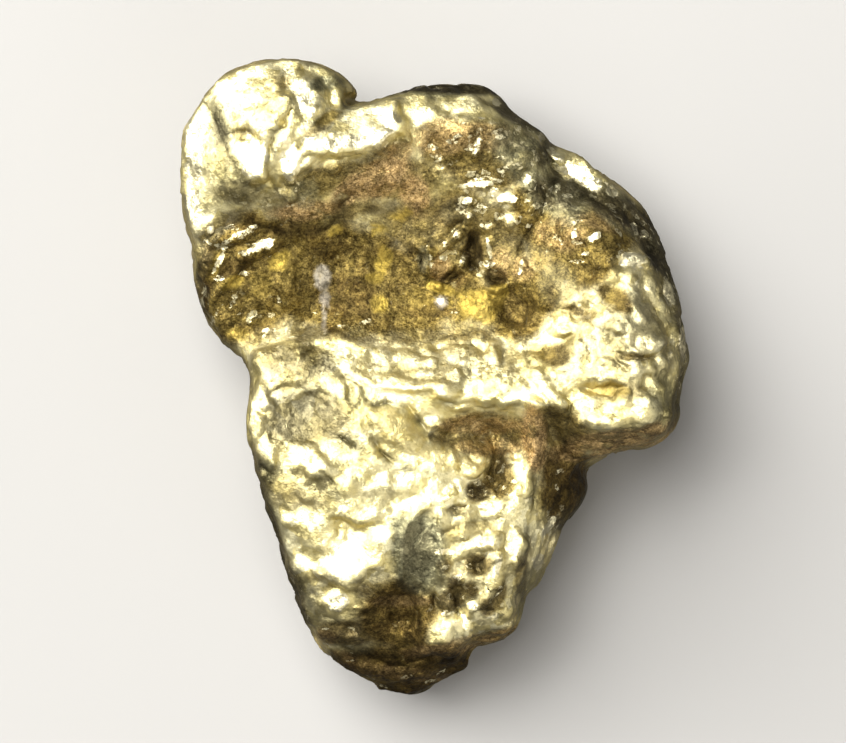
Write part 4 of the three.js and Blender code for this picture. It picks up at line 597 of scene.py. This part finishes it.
waist = rim_value(X, Y, 2) + 0.22 * octaves(P2, 2.6, 101, 2)
round_top = rim_value(X, Y, 3) * (0.85 + 0.25 * value_noise(P2, 1.3, 111))
round_low = rim_value(X, Y, 4) * (1 + 0.12 * value_noise(P2, 1.9, 121))
low = thin_plate(LOWER, 0.02)(X, Y)
low = np.where(low > 0.05, low + 0.09 * octaves(P2, 1.6, 131, 3) * smooth((low - 0.05) / 0.3), low)
top = np.maximum(top, waist + 0.5)
low = np.minimum(low, waist - 0.6)

maps = np.stack([m.reshape(shape2).astype(np.float32) for m in (edge, top, low, waist, round_top, round_low)], -1)


def look_up(table, x, y):
    u = np.clip((x - gx[0]) / STEP, 0, shape2[0] - 1.001)
    v = np.clip((y - gy[0]) / STEP, 0, shape2[1] - 1.001)
    i, j = u.astype(np.int32), v.astype(np.int32)
    a = (u - i).astype(np.float32)[..., None]
    b = (v - j).astype(np.float32)[..., None]
    return (table[i, j] * (1 - a) + table[i + 1, j] * a) * (1 - b) + (table[i, j + 1] * (1 - a) + table[i + 1, j + 1] * a) * b


# ---------------------------------------------------------------- solid field
def field(x, y, z):
    """Signed distance, roughly, at points given as 1-D arrays: below zero is metal."""
    p = np.stack([x, y, z], 1)
    side = smooth((0.9 - np.abs(z - 3.3) / 4.2) * 1.6)
    sx = 0.17 * value_noise(p, 1.35, 201) + 0.07 * value_noise(p, 0.6, 202)
    sy = 0.17 * value_noise(p, 1.35, 203) + 0.07 * value_noise(p, 0.6, 204)
    m = look_up(maps, x + sx * side, y + sy * side)
    e, t, l, w, rt, rl = (m[:, k] for k in range(6))
    # broad hollows and bulges on the flanks under the widest line
    dip = value_noise(p, 2.4, 206) + 0.5 * value_noise(p, 1.1, 207)
    e = e - 0.30 * np.clip(dip + 0.25, 0, 1.2) * smooth((w - z - 0.2) / 1.0) * smooth((1.5 - np.abs(e)) / 1.0)
    above = z > w
    r = np.where(above, rt, rl)
    h = np.where(above, t - w, w - l)
    a = np.maximum((r - e) / r, 0)
    b = np.abs(z - w) / h
    k = np.where(above, 2.3, 2.1).astype(np.float32)
    g = (a**k + b**k) ** (1 / k)
    gg = np.maximum(g, 1e-3)
    slope = np.sqrt((np.where(a > 0, a, 0) ** (k - 1) / r) ** 2 + (b ** (k - 1) / h) ** 2) / gg ** (k - 1)
    return np.clip((g - 1) / np.maximum(slope, 0.05), -0.6, 0.6)


def solid_grid():
    lo = np.array([-8.5, -10.5, -0.35])
    hi = np.array([8.5, 10.5, 8.6])
    n = np.ceil((hi - lo) / VOXEL).astype(int) + 1
    ax = [lo[a] + VOXEL * np.arange(n[a]) for a in range(3)]
    f = np.full(n, 0.6, np.float32)
    # coarse pass without detail finds where the skin is
    k = 4
    cx, cy, cz = (a[::k] for a in ax)
    gxx, gyy, gzz = np.meshgrid(cx, cy, cz, indexing="ij")
    c = field(gxx.ravel(), gyy.ravel(), gzz.ravel()).reshape(gxx.shape)
    near = np.abs(c) < 0.55
    near = np.pad(near, 1)
    wide = np.zeros_like(near)
    for i in (-1, 0, 1):
        for j in (-1, 0, 1):
            for m in (-1, 0, 1):
                wide |= np.roll(near, (i, j, m), (0, 1, 2))
    wide = wide[1:-1, 1:-1, 1:-1]
    idx = [np.minimum(np.arange(n[a]) // k, c.shape[a] - 1) for a in range(3)]
    big = np.ix_(*idx)
    f[:] = np.where(c[big] < 0, -0.6, 0.6)
    todo = wide[big]
    i, j, m = np.nonzero(todo)
    f[i, j, m] = field(ax[0][i], ax[1][j], ax[2][m])
    return f, lo


def surface_net(f, lo):
    s = f < 0
    corners = [(a, b, c) for a in (0, 1) for b in (0, 1) for c in (0, 1)]
    n = [d - 1 for d in f.shape]
    count = np.zeros(n, np.int8)
    for a, b, c in corners:
        count += s[a : a + n[0], b : b + n[1], c : c + n[2]]
    active = (count > 0) & (count < 8)
    I, J, K = np.nonzero(active)
    vals = {c: f[I + c[0], J + c[1], K + c[2]] for c in corners}
    acc = np.zeros((len(I), 3))
    num = np.zeros(len(I))
    for c in corners:
        for axis in range(3):
            if c[axis]:
                continue
            d = list(c)
            d[axis] = 1
            va, vb = vals[c], vals[tuple(d)]
            cross = (va < 0) != (vb < 0)
            t = np.where(cross, va / np.where(cross, va - vb, 1), 0)
            pt = np.tile(np.array(c, float), (len(I), 1))
            pt[:, axis] = t
            acc += pt * cross[:, None]
            num += cross
    verts = lo + VOXEL * (np.stack([I, J, K], 1) + acc / num[:, None])
    ids = np.full(n, -1, np.int32)
    ids[I, J, K] = np.arange(len(I))
    quads = []
    for axis in range(3):
        u, v = [(1, 2), (2, 0), (0, 1)][axis]
        a = [slice(0, d) for d in f.shape]
        b = [slice(0, d) for d in f.shape]
        a[axis] = slice(0, f.shape[axis] - 1)
        b[axis] = slice(1, f.shape[axis])
        cross = s[tuple(a)] != s[tuple(b)]
        pts = np.stack(np.nonzero(cross), 1)
        inner = (pts[:, u] > 0) & (pts[:, v] > 0) & (pts[:, u] < n[u]) & (pts[:, v] < n[v]) & (pts[:, axis] < n[axis])
        pts = pts[inner]
        def cell(du, dv):
            q = pts.copy()
            q[:, u] -= du
            q[:, v] -= dv
            return ids[q[:, 0], q[:, 1], q[:, 2]]
        q = np.stack([cell(1, 1), cell(0, 1), cell(0, 0), cell(1, 0)], 1)
        into = s[tuple(pts.T)]
        q[~into] = q[~into][:, ::-1]
        quads.append(q)
    return verts, np.concatenate(quads)


def normals(v, faces):
    t = faces if faces.shape[1] == 3 else np.concatenate([faces[:, [0, 1, 2]], faces[:, [0, 2, 3]]])
    n = np.cross(v[t[:, 1]] - v[t[:, 0]], v[t[:, 2]] - v[t[:, 0]])
    out = np.zeros_like(v)
    for c in range(3):
        for a in range(3):
            out[:, a] += np.bincount(t[:, c], n[:, a], len(v))
    return out / np.maximum(np.linalg.norm(out, axis=1, keepdims=True), 1e-12)


def relax(v, faces, rounds, lam):
    k = faces.shape[1]
    a = np.concatenate([faces[:, i] for i in range(k)])
    b = np.concatenate([faces[:, (i + 1) % k] for i in range(k)])
    src, dst = np.concatenate([a, b]), np.concatenate([b, a])
    deg = np.bincount(src, minlength=len(v)).astype(float)
    for r in range(rounds):
        mean = np.stack([np.bincount(src, v[dst, c], len(v)) for c in range(3)], 1) / deg[:, None]
        v = v + lam[r % len(lam)] * (mean - v)
    return v


grid, corner = solid_grid()
verts, quads = surface_net(grid, corner)
del grid
verts = relax(verts, quads, 2, (0.5, -0.35))
for _ in range(2):
    nrm = normals(verts, quads)
    verts = verts - nrm * (np.clip(field(*verts.T), -0.05, 0.05))[:, None] * 0.8

# ---------------------------------------------------------------- fine relief along the normals
def region(table, x, y, wobble, sharp=0.5):
    out = np.zeros(len(x))
    for cx, cy, rx, ry, turn, s in table:
        _, _, u, v = ellipse(x, y, cx, cy, rx, ry, turn)
        r = np.sqrt(u * u + v * v) + wobble
        out = np.maximum(out, s * smooth((1 + sharp / 2 - r) / sharp))
    return out


nrm = normals(verts, quads)
x, y, z = verts.T
P = verts
warp = np.stack([value_noise(P, 0.5, 300 + a) for a in range(3)], 1) * 0.08
up = smooth((z - 3.2) / 2.0)
rough = np.maximum(region(ROUGH, x, y, 0.2 * value_noise(P, 0.9, 311)) * up, (0.45 + 0.35 * value_noise(P, 2.3, 312)) * (1 - up))
below = 1 - smooth((z - 2.4) / 2.0)
steepness = 1 - smooth((nrm[:, 2] - 0.1) / 0.6)
chips = facets_noise(P + warp, 0.40, 331, 1.4, 0.7)
small = facets_noise(P + warp * 0.7, 0.20, 341, 1.4, 0.7)
slabs = facets_noise(P + warp * 2, 1.5, 345, 1.2, 0.7)
blocks = facets_noise(P + warp * 1.5, 0.8, 346, 1.2, 0.7)
dent, _, which = cells(P + warp * 0.5, 0.5, 351)
dent = smooth(1 - dent / 0.62) * (unit(which) > 0.45)
disp = rough * (0.060 * (chips - 0.35) + 0.026 * (small - 0.35))
disp += (1 - rough) * (0.020 * octaves(P, 0.6, 361, 2) - 0.020 * dent + 0.008 * (small - 0.35))
lower_side = np.maximum(below, 0.40 * steepness)
disp += lower_side * (0.15 * (slabs - 0.45) + 0.09 * (blocks - 0.4) + 0.05 * octaves(P, 1.1, 371, 2))
# worn folds and pockmarks on the flanks and the underside
away = np.maximum(below, 0.55 * steepness)
crest = 1 - np.abs(value_noise(P + warp * 3, 1.25, 381))
crest2 = 1 - np.abs(value_noise(P + warp * 2, 0.62, 383))
pock, _, mine = cells(P + warp * 2.5, 1.15, 391)
pock = smooth(1 - pock / 0.46) * (unit(mine) > 0.55)
pock2, _, mine2 = cells(P + warp * 2, 0.55, 393)
pock2 = smooth(1 - pock2 / 0.5) * (unit(mine2) > 0.6)
disp += away * (0.13 * (crest**4 - 0.25) + 0.06 * (crest2**4 - 0.25) - 0.15 * pock - 0.07 * pock2)
keep = smooth(z / 0.3)
verts = verts + nrm * (disp * keep)[:, None]
# relief that would stand out past the outline is pressed back
ex, ey = np.gradient(drawn, STEP)
skirt = look_up(np.stack([drawn, ex, ey], -1), verts[:, 0], verts[:, 1])
press = np.clip(-skirt[:, 0], 0, None) * 0.65
verts[:, :2] += skirt[:, 1:] * press[:, None]
verts[:, 2] = np.maximum(verts[:, 2], 0.0)

# ---------------------------------------------------------------- mesh
def to_mesh(name, v, faces):
    me = bpy.data.meshes.new(name)
    k = faces.shape[1]
    me.vertices.add(len(v))
    me.vertices.foreach_set("co", (v * 0.001).astype(np.float32).ravel())
    me.loops.add(faces.size)
    me.loops.foreach_set("vertex_index", faces.astype(np.int32).ravel())
    me.polygons.add(len(faces))
    me.polygons.foreach_set("loop_start", np.arange(0, faces.size, k, dtype=np.int32))
    me.update(calc_edges=True)
    me.validate()
    return me


raw = bpy.data.objects.new("raw", to_mesh("raw", verts * 1000, quads))
bpy.context.scene.collection.objects.link(raw)
tri = raw.modifiers.new("tri", "TRIANGULATE")
tri.quad_method = "SHORTEST_DIAGONAL"
total = 2 * len(quads)
print("raw triangles", total)
if total > TRIANGLES:
    dec = raw.modifiers.new("dec", "DECIMATE")
    dec.ratio = TRIANGLES / total
got = bpy.data.meshes.new_from_object(raw.evaluated_get(bpy.context.evaluated_depsgraph_get()))
co = np.empty(len(got.vertices) * 3, np.float32)
got.vertices.foreach_get("co", co)
co = co.reshape(-1, 3).astype(float)
idx = np.empty(len(got.loops), np.int32)
got.loops.foreach_get("vertex_index", idx)
tris = idx.reshape(-1, 3)
bpy.data.objects.remove(raw)
bpy.data.meshes.remove(got)
co[:, 2] = np.maximum(co[:, 2], 0)
co[:, 2] -= co[:, 2].min()

mesh = to_mesh("gold_lump", co, tris)
lump = bpy.data.objects.new("gold_lump", mesh)
bpy.context.scene.collection.objects.link(lump)
mesh.polygons.foreach_set("use_smooth", np.ones(len(mesh.polygons), bool))

# ---------------------------------------------------------------- masks
nrm = normals(co, tris)
soft = relax(co, tris, 24, (0.6,))
soft_nrm = normals(soft, tris)
hollow = ((soft - co) * nrm).sum(1)
hollow = hollow / 0.09
x, y, z = co.T
up = smooth((nrm[:, 2] + 0.15) / 0.45) * smooth((z - 1.9) / 1.3)
wob = 0.30 * octaves(co, 0.8, 401, 3)


def store(name, values):
    a = mesh.attributes.new(name, "FLOAT", "POINT")
    a.data.foreach_set("value", np.clip(values, -4, 4).astype(np.float32))


store("stain", region(STAIN, x, y, wob, 0.55) * up)
store("tan", region(TAN, x, y, wob * 0.8, 0.5) * up)
store("yellow", region(YELLOW, x, y, wob * 1.5 + 0.25 * value_noise(co, 0.22, 405), 0.32) * up)
store("grey_reflection", region(GREY_REFLECTION, x, y, wob, 0.5) * up)
store("white", region(WHITE, x, y, wob * 0.6, 0.3) * up)
# tarnish patches, partly painted shade
store("tarnish_and_shade", region(TARNISH_AND_SHADE, x, y, wob * 1.1, 0.6) * smooth((z - 1.3) / 1.1))
# painted shade: the colour is darkened along the crevice paths
painted_crease_shade = np.zeros(len(co))
for half, h, path in CREVICES:
    near = (np.abs(x - np.mean([q[0] for q in path])) < 3.5) & (np.abs(y - np.mean([q[1] for q in path])) < 3.5)
    i = np.nonzero(near)[0]
    d = path_distance(x[i] + 0.06 * wob[i], y[i] - 0.06 * wob[i], spline(path, False, 5)) / (half * 0.9)
    painted_crease_shade[i] = np.maximum(painted_crease_shade[i], min(1.0, h / 0.28) * np.exp(-(d**2)))
store("painted_crease_shade", painted_crease_shade * smooth(0.75 + 0.8 * value_noise(co, 0.4, 409)) * up)
store("bare", region(BARE, x, y, wob * 0.9 + 0.3 * value_noise(co, 0.2, 407), 0.5) * up)
store("flecks", np.maximum(region(FLECKS, x, y, wob, 0.7) * up, 0.16 * (1 - up)))
store("hollow", hollow)
store("steep", 1 - smooth((nrm[:, 2] - 0.05) / 0.45))
store("flank", 1 - smooth((soft_nrm[:, 2] - 0.05) / 0.5))
store("rough", np.maximum(region(ROUGH, x, y, wob * 0.6, 0.6) * up, 0.45 * (1 - up)))
mesh.update()

# ---------------------------------------------------------------- material
mat = bpy.data.materials.new("native_gold")
mat.use_nodes = True
nt = mat.node_tree
nt.nodes.clear()
N = nt.nodes.new
L = nt.links.new
out = N("ShaderNodeOutputMaterial")
bsdf = N("ShaderNodeBsdfPrincipled")
L(bsdf.outputs["BSDF"], out.inputs["Surface"])
coord = N("ShaderNodeTexCoord")


def attr(name):
    n = N("ShaderNodeAttribute")
    n.attribute_name = name
    return n.outputs["Fac"]


def math_node(op, a, b=None, clamp=False):
    n = N("ShaderNodeMath")
    n.operation = op
    n.use_clamp = clamp
    for k, v in enumerate((a, b)):
        if v is None:
            continue
        if isinstance(v, (int, float)):
            n.inputs[k].default_value = v
        else:
            L(v, n.inputs[k])
    return n.outputs[0]


def mixc(fac, a, b):
    n = N("ShaderNodeMix")
    n.data_type = "RGBA"
    for sock, v in ((n.inputs[0], fac), (n.inputs[6], a), (n.inputs[7], b)):
        if isinstance(v, tuple):
            sock.default_value = (*v, 1)
        elif isinstance(v, (int, float)):
            sock.default_value = v
        else:
            L(v, sock)
    return n.outputs[2]


def mixf(fac, a, b):
    n = N("ShaderNodeMix")
    for sock, v in ((n.inputs[0], fac), (n.inputs[2], a), (n.inputs[3], b)):
        if isinstance(v, (int, float)):
            sock.default_value = v
        else:
            L(v, sock)
    return n.outputs[0]


def noise(scale_mm, detail=3.0, rough=0.55):
    n = N("ShaderNodeTexNoise")
    n.inputs["Scale"].default_value = 1000.0 / scale_mm
    n.inputs["Detail"].default_value = detail
    n.inputs["Roughness"].default_value = rough
    L(coord.outputs["Object"], n.inputs["Vector"])
    return n.outputs["Fac"]


def ramp(value, lo, hi, clamp=True):
    n = N("ShaderNodeMapRange")
    n.inputs["From Min"].default_value = lo
    n.inputs["From Max"].default_value = hi
    L(value, n.inputs["Value"])
    return n.outputs["Result"]


PALE = (0.90, 0.84, 0.60)
RICH = (0.86, 0.69, 0.33)
GOLD = (0.91, 0.845, 0.53)
DEEP = (0.64, 0.545, 0.225)
BROWN = (0.098, 0.064, 0.014)
OLIVE = (0.270, 0.200, 0.058)
TANC = (0.61, 0.425, 0.19)
UMBER = (0.27, 0.17, 0.060)
YEL = (0.47, 0.345, 0.068)
GREY_REFLECTION_TONE = (0.26, 0.25, 0.145)
WHT = (0.37, 0.33, 0.25)
RUST_AND_SHADE = (0.16, 0.085, 0.022)

geo = N("ShaderNodeNewGeometry")


def vector_node(op, a, b=None, scale=None):
    n = N("ShaderNodeVectorMath")
    n.operation = op
    for k, v in enumerate((a, b)):
        if v is None:
            continue
        if isinstance(v, tuple):
            n.inputs[k].default_value = v
        else:
            L(v, n.inputs[k])
    if scale is not None:
        if isinstance(scale, (int, float)):
            n.inputs["Scale"].default_value = scale
        else:
            L(scale, n.inputs["Scale"])
    return n.outputs[0]


shift = N("ShaderNodeTexNoise")
shift.inputs["Scale"].default_value = 1000 / 0.25
shift.inputs["Detail"].default_value = 3
L(coord.outputs["Object"], shift.inputs["Vector"])
moved = vector_node("ADD", coord.outputs["Object"], vector_node("SCALE", vector_node("SUBTRACT", shift.outputs["Color"], (0.5, 0.5, 0.5)), scale=0.00018))


def cell_tone(scale_mm, lo, hi, most):
    v = N("ShaderNodeTexVoronoi")
    v.inputs["Scale"].default_value = 1000 / scale_mm
    L(moved, v.inputs["Vector"])
    sep = N("ShaderNodeSeparateColor")
    L(v.outputs["Color"], sep.inputs[0])
    return math_node("MULTIPLY", ramp(sep.outputs[0], lo, hi), most)


plates = cell_tone(0.42, 0.35, 0.95, 0.85)
big = noise(1.3, 4)
mid = noise(0.45, 4, 0.6)
fine = noise(0.12, 3, 0.6)
hol = attr("hollow")
inside = ramp(hol, 0.15, 1.6)
grain = noise(0.055, 2, 0.6)
spots = N("ShaderNodeTexVoronoi")
spots.inputs["Scale"].default_value = 1000 / 0.17
spots.inputs["Randomness"].default_value = 1.0
L(vector_node("MULTIPLY", moved, (0.55, 1.05, 0.8)), spots.inputs["Vector"])
spot_sep = N("ShaderNodeSeparateColor")
L(spots.outputs["Color"], spot_sep.inputs[0])
picked = math_node("GREATER_THAN", attr("flecks"), math_node("ADD", math_node("MULTIPLY", spot_sep.outputs[1], 1.6), 0.12))
fleck = math_node("MULTIPLY", picked, math_node("MULTIPLY", ramp(fine, 0.42, 0.58), math_node("ADD", spot_sep.outputs[2], 0.15)))
worn = ramp(math_node("ADD", math_node("MULTIPLY", attr("bare"), 1.25), math_node("ADD", math_node("MULTIPLY", math_node("SUBTRACT", mid, 0.5), 1.6), math_node("MULTIPLY", math_node("SUBTRACT", fine, 0.5), 1.2))), 0.45, 0.80)
worn = math_node("MULTIPLY", worn, ramp(attr("bare"), 0.02, 0.25))
bare = math_node("MAXIMUM", worn, fleck, True)
keep = math_node("SUBTRACT", 1.0, bare, True)


def unless_bare(value):
    return math_node("MULTIPLY", value, keep)


stain = unless_bare(math_node("MULTIPLY", attr("stain"), ramp(mid, 0.08, 0.36)))
dirt = math_node("MAXIMUM", math_node("MULTIPLY", inside, 0.28), stain, True)
grit = math_node("ADD", math_node("MULTIPLY", fine, 0.45), math_node("MULTIPLY", grain, 0.55))
speck = math_node("ADD", math_node("MULTIPLY", mid, 0.30), math_node("ADD", math_node("MULTIPLY", fine, 0.35), math_node("MULTIPLY", grain, 0.35)))
gold = mixc(math_node("MAXIMUM", ramp(big, 0.35, 0.68), plates), GOLD, DEEP)
gold = mixc(math_node("MULTIPLY", attr("flank"), 0.8), gold, mixc(ramp(big, 0.35, 0.65), RICH, DEEP))
brown = mixc(ramp(speck, 0.40, 0.60), BROWN, OLIVE)
c = mixc(dirt, gold, brown)
tan_f = unless_bare(math_node("MULTIPLY", attr("tan"), ramp(mid, 0.25, 0.5)))
c = mixc(tan_f, c, mixc(ramp(speck, 0.42, 0.58), UMBER, TANC))
# painted dark reflection: grey colour and a rougher finish on the grey patches
grey_reflection_f = unless_bare(math_node("MULTIPLY", attr("grey_reflection"), 0.9))
c = mixc(grey_reflection_f, c, GREY_REFLECTION_TONE)
yel_f = math_node("MULTIPLY", math_node("MULTIPLY", attr("yellow"), 1.0, True), ramp(fine, 0.05, 0.34))
c = mixc(yel_f, c, YEL)
wht_f = math_node("MULTIPLY", attr("white"), ramp(fine, 0.05, 0.45))
c = mixc(wht_f, c, WHT)
# tarnish patches: colour drops to about a quarter and leans to rust, partly real tarnish and partly painted shade
dark_f = unless_bare(math_node("MULTIPLY", attr("tarnish_and_shade"), ramp(mid, 0.15, 0.40)))
# steep sides are dimmed to 0.82 of their colour: painted shade
shade = math_node("MULTIPLY", mixf(dark_f, 1.0, 0.26), mixf(attr("steep"), 1.0, 0.82))
c = mixc(math_node("MULTIPLY", dark_f, 0.45), c, RUST_AND_SHADE)
c = mixc(math_node("MULTIPLY", bare, 0.6), c, PALE)
# stained and tan zones, painted grey reflection, tarnish with painted shade, and steep sides: these zones get the
# mottle below
coat_and_shade_zones = math_node("MAXIMUM", stain, math_node("MAXIMUM", tan_f, math_node("MAXIMUM", grey_reflection_f, dark_f)), True)
coat_and_shade_zones = math_node("MAXIMUM", coat_and_shade_zones, math_node("MULTIPLY", attr("steep"), 0.6))
vein = ramp(math_node("ABSOLUTE", math_node("SUBTRACT", noise(0.62, 3, 0.55), 0.5)), 0.030, 0.0)
mottle = ramp(noise(0.30, 2, 0.5), 0.40, 0.60)
# the stain lies in ragged patches, each a little lighter or darker
bend = N("ShaderNodeTexNoise")
bend.inputs["Scale"].default_value = 1000 / 0.5
bend.inputs["Detail"].default_value = 3
L(coord.outputs["Object"], bend.inputs["Vector"])
bent = vector_node("ADD", coord.outputs["Object"], vector_node("SCALE", vector_node("SUBTRACT", bend.outputs["Color"], (0.5, 0.5, 0.5)), scale=0.00075))
bent = vector_node("MULTIPLY", bent, (1.15, 0.85, 0.8))
patch = N("ShaderNodeTexNoise")
patch.inputs["Scale"].default_value = 1000 / 0.62
patch.inputs["Detail"].default_value = 1.0
L(bent, patch.inputs["Vector"])
patch_sep = N("ShaderNodeSeparateColor")
L(patch.outputs["Color"], patch_sep.inputs[0])
patch_a = ramp(patch_sep.outputs[0], 0.46, 0.54)
patch_b = ramp(patch_sep.outputs[1], 0.46, 0.55)
patch_tone = math_node("MULTIPLY", mixf(patch_a, 0.80, 1.13), mixf(patch_b, 0.88, 1.06))
freckle = mixf(math_node("MULTIPLY", coat_and_shade_zones, math_node("SUBTRACT", 1.0, math_node("MAXIMUM", math_node("MULTIPLY", yel_f, 0.6), math_node("MULTIPLY", wht_f, 0.6)))), mixf(ramp(speck, 0.40, 0.60), 0.90, 1.0), mixf(ramp(grit, 0.36, 0.64), 0.55, 1.17))
tint = N("ShaderNodeVectorMath")
tint.operation = "MULTIPLY"
c = mixc(math_node("MULTIPLY", math_node("MULTIPLY", stain, ramp(patch_sep.outputs[2], 0.53, 0.60)), 0.10), c, YEL)
L(c, tint.inputs[0])
patchy = math_node("MULTIPLY", mixf(math_node("MULTIPLY", coat_and_shade_zones, 0.9), 1.0, mixf(mottle, 0.72, 1.12)), mixf(math_node("MULTIPLY", vein, coat_and_shade_zones), 1.0, 0.55))
# painted shade along the crevices: colour drops to 0.42
patchy = math_node("MULTIPLY", patchy, mixf(attr("painted_crease_shade"), 1.0, 0.42))
patchy = math_node("MULTIPLY", patchy, mixf(math_node("MULTIPLY", coat_and_shade_zones, 0.9), 1.0, patch_tone))
L(mixc(math_node("MULTIPLY", math_node("MULTIPLY", shade, patchy), freckle), (0.0, 0.0, 0.0), (1.0, 1.0, 1.0)), tint.inputs[1])
L(tint.outputs[0], bsdf.inputs["Base Color"])

matte = math_node("MAXIMUM", dirt, math_node("MAXIMUM", tan_f, math_node("MAXIMUM", wht_f, yel_f)), True)
r = mixf(ramp(mid, 0.3, 0.7), 0.44, 0.60)
r = mixf(matte, r, 0.56)
r = mixf(bare, r, 0.41)
r = mixf(math_node("MULTIPLY", grey_reflection_f, 0.8), r, 0.52)
r = math_node("SUBTRACT", r, math_node("MULTIPLY", math_node("MULTIPLY", attr("flank"), keep), 0.07))
L(r, bsdf.inputs["Roughness"])
metal = mixf(matte, 1.0, 0.80)
metal = mixf(wht_f, metal, 0.2)
L(metal, bsdf.inputs["Metallic"])
bsdf.inputs["Specular IOR Level"].default_value = 0.2

def tilt(scale_mm, amount):
    v = N("ShaderNodeTexVoronoi")
    v.inputs["Scale"].default_value = 1000 / scale_mm
    L(moved, v.inputs["Vector"])
    return vector_node("SCALE", vector_node("SUBTRACT", v.outputs["Color"], (0.5, 0.5, 0.5)), scale=amount)


hackly = attr("rough")
turned = vector_node("ADD", tilt(0.28, math_node("ADD", math_node("MULTIPLY", hackly, 0.24), 0.10)), tilt(0.12, math_node("ADD", math_node("MULTIPLY", hackly, 0.10), 0.22)))
facing = vector_node("NORMALIZE", vector_node("ADD", geo.outputs["Normal"], turned))

bump = N("ShaderNodeBump")
L(facing, bump.inputs["Normal"])
bump.inputs["Distance"].default_value = 0.00004
bump.inputs["Strength"].default_value = 0.75
h = math_node("ADD", math_node("MULTIPLY", mid, 1.0), math_node("ADD", math_node("MULTIPLY", fine, math_node("ADD", math_node("MULTIPLY", matte, 0.5), 0.75)), math_node("MULTIPLY", grain, 0.40)))
h = math_node("ADD", h, math_node("MULTIPLY", math_node("MULTIPLY", coat_and_shade_zones, math_node("ADD", patch_a, patch_b)), 0.35))
L(h, bump.inputs["Height"])
L(bump.outputs["Normal"], bsdf.inputs["Normal"])
mesh.materials.append(mat)

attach(lump, "root")
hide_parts("gold_nugget")

# ---------------------------------------------------------------- stage, light, camera
def plain(name, colour, rough):
    m = bpy.data.materials.new(name)
    m.use_nodes = True
    b = m.node_tree.nodes["Principled BSDF"]
    b.inputs["Base Color"].default_value = (*colour, 1)
    b.inputs["Roughness"].default_value = rough
    return m


bpy.ops.mesh.primitive_plane_add(size=1.2, location=(0, 0, 0))
floor = bpy.context.object
floor.name = "floor"
floor.data.materials.append(plain("pale_floor", (0.31, 0.306, 0.30), 0.9))
floor.visible_glossy = False

world = bpy.data.worlds.new("studio")
bpy.context.scene.world = world
world.use_nodes = True
world.node_tree.nodes["Background"].inputs[0].default_value = (1.0, 0.96, 0.90, 1)
world.node_tree.nodes["Background"].inputs[1].default_value = 0.13


def softbox(name, azimuth, elevation, distance, w, h, power, colour=(1, 1, 1)):
    """azimuth counted clockwise from +Y; the box looks at the lump's middle"""
    a, e = math.radians(azimuth), math.radians(elevation)
    d = Vector((math.sin(a) * math.cos(e), math.cos(a) * math.cos(e), math.sin(e)))
    data = bpy.data.lights.new(name, "AREA")
    data.shape = "RECTANGLE"
    data.size, data.size_y = w, h
    data.energy = power
    data.color = colour
    o = bpy.data.objects.new(name, data)
    o.location = Vector((0, 0, 0.004)) + d * distance
    o.rotation_mode = "QUATERNION"
    o.rotation_quaternion = d.to_track_quat("Z", "Y")
    bpy.context.scene.collection.objects.link(o)
    return o


softbox("key", -45, 50, 0.30, 0.26, 0.22, 1.69, (1.0, 0.985, 0.95))
softbox("low", -60, 17, 0.32, 0.42, 0.15, 1.42, (1.0, 0.985, 0.95))
softbox("top", -45, 73, 0.36, 0.24, 0.18, 1.35, (1.0, 0.985, 0.95))
softbox("fill", 150, 40, 0.36, 0.32, 0.20, 0.40, (1.0, 0.97, 0.93))
softbox("side", 105, 12, 0.34, 0.40, 0.12, 0.42, (1.0, 0.97, 0.93))

LENS = 250.0
cam_data = bpy.data.cameras.new("camera")
cam_data.lens = LENS
cam_data.sensor_width = 36.0
cam = bpy.data.objects.new("camera", cam_data)
bpy.context.scene.collection.objects.link(cam)
FRAME_W = 846 * 0.031496 * 0.001
dist = FRAME_W * LENS / 36.0
cam.location = (-0.3937 * 0.001, 0.2205 * 0.001, 0.0035 + dist)
cam.rotation_euler = (0, 0, 0)
cam_data.clip_start = 0.01
cam_data.clip_end = 5
bpy.context.scene.camera = cam
bpy.context.scene.view_settings.view_transform = "Standard"
bpy.context.scene.view_settings.look = "None"
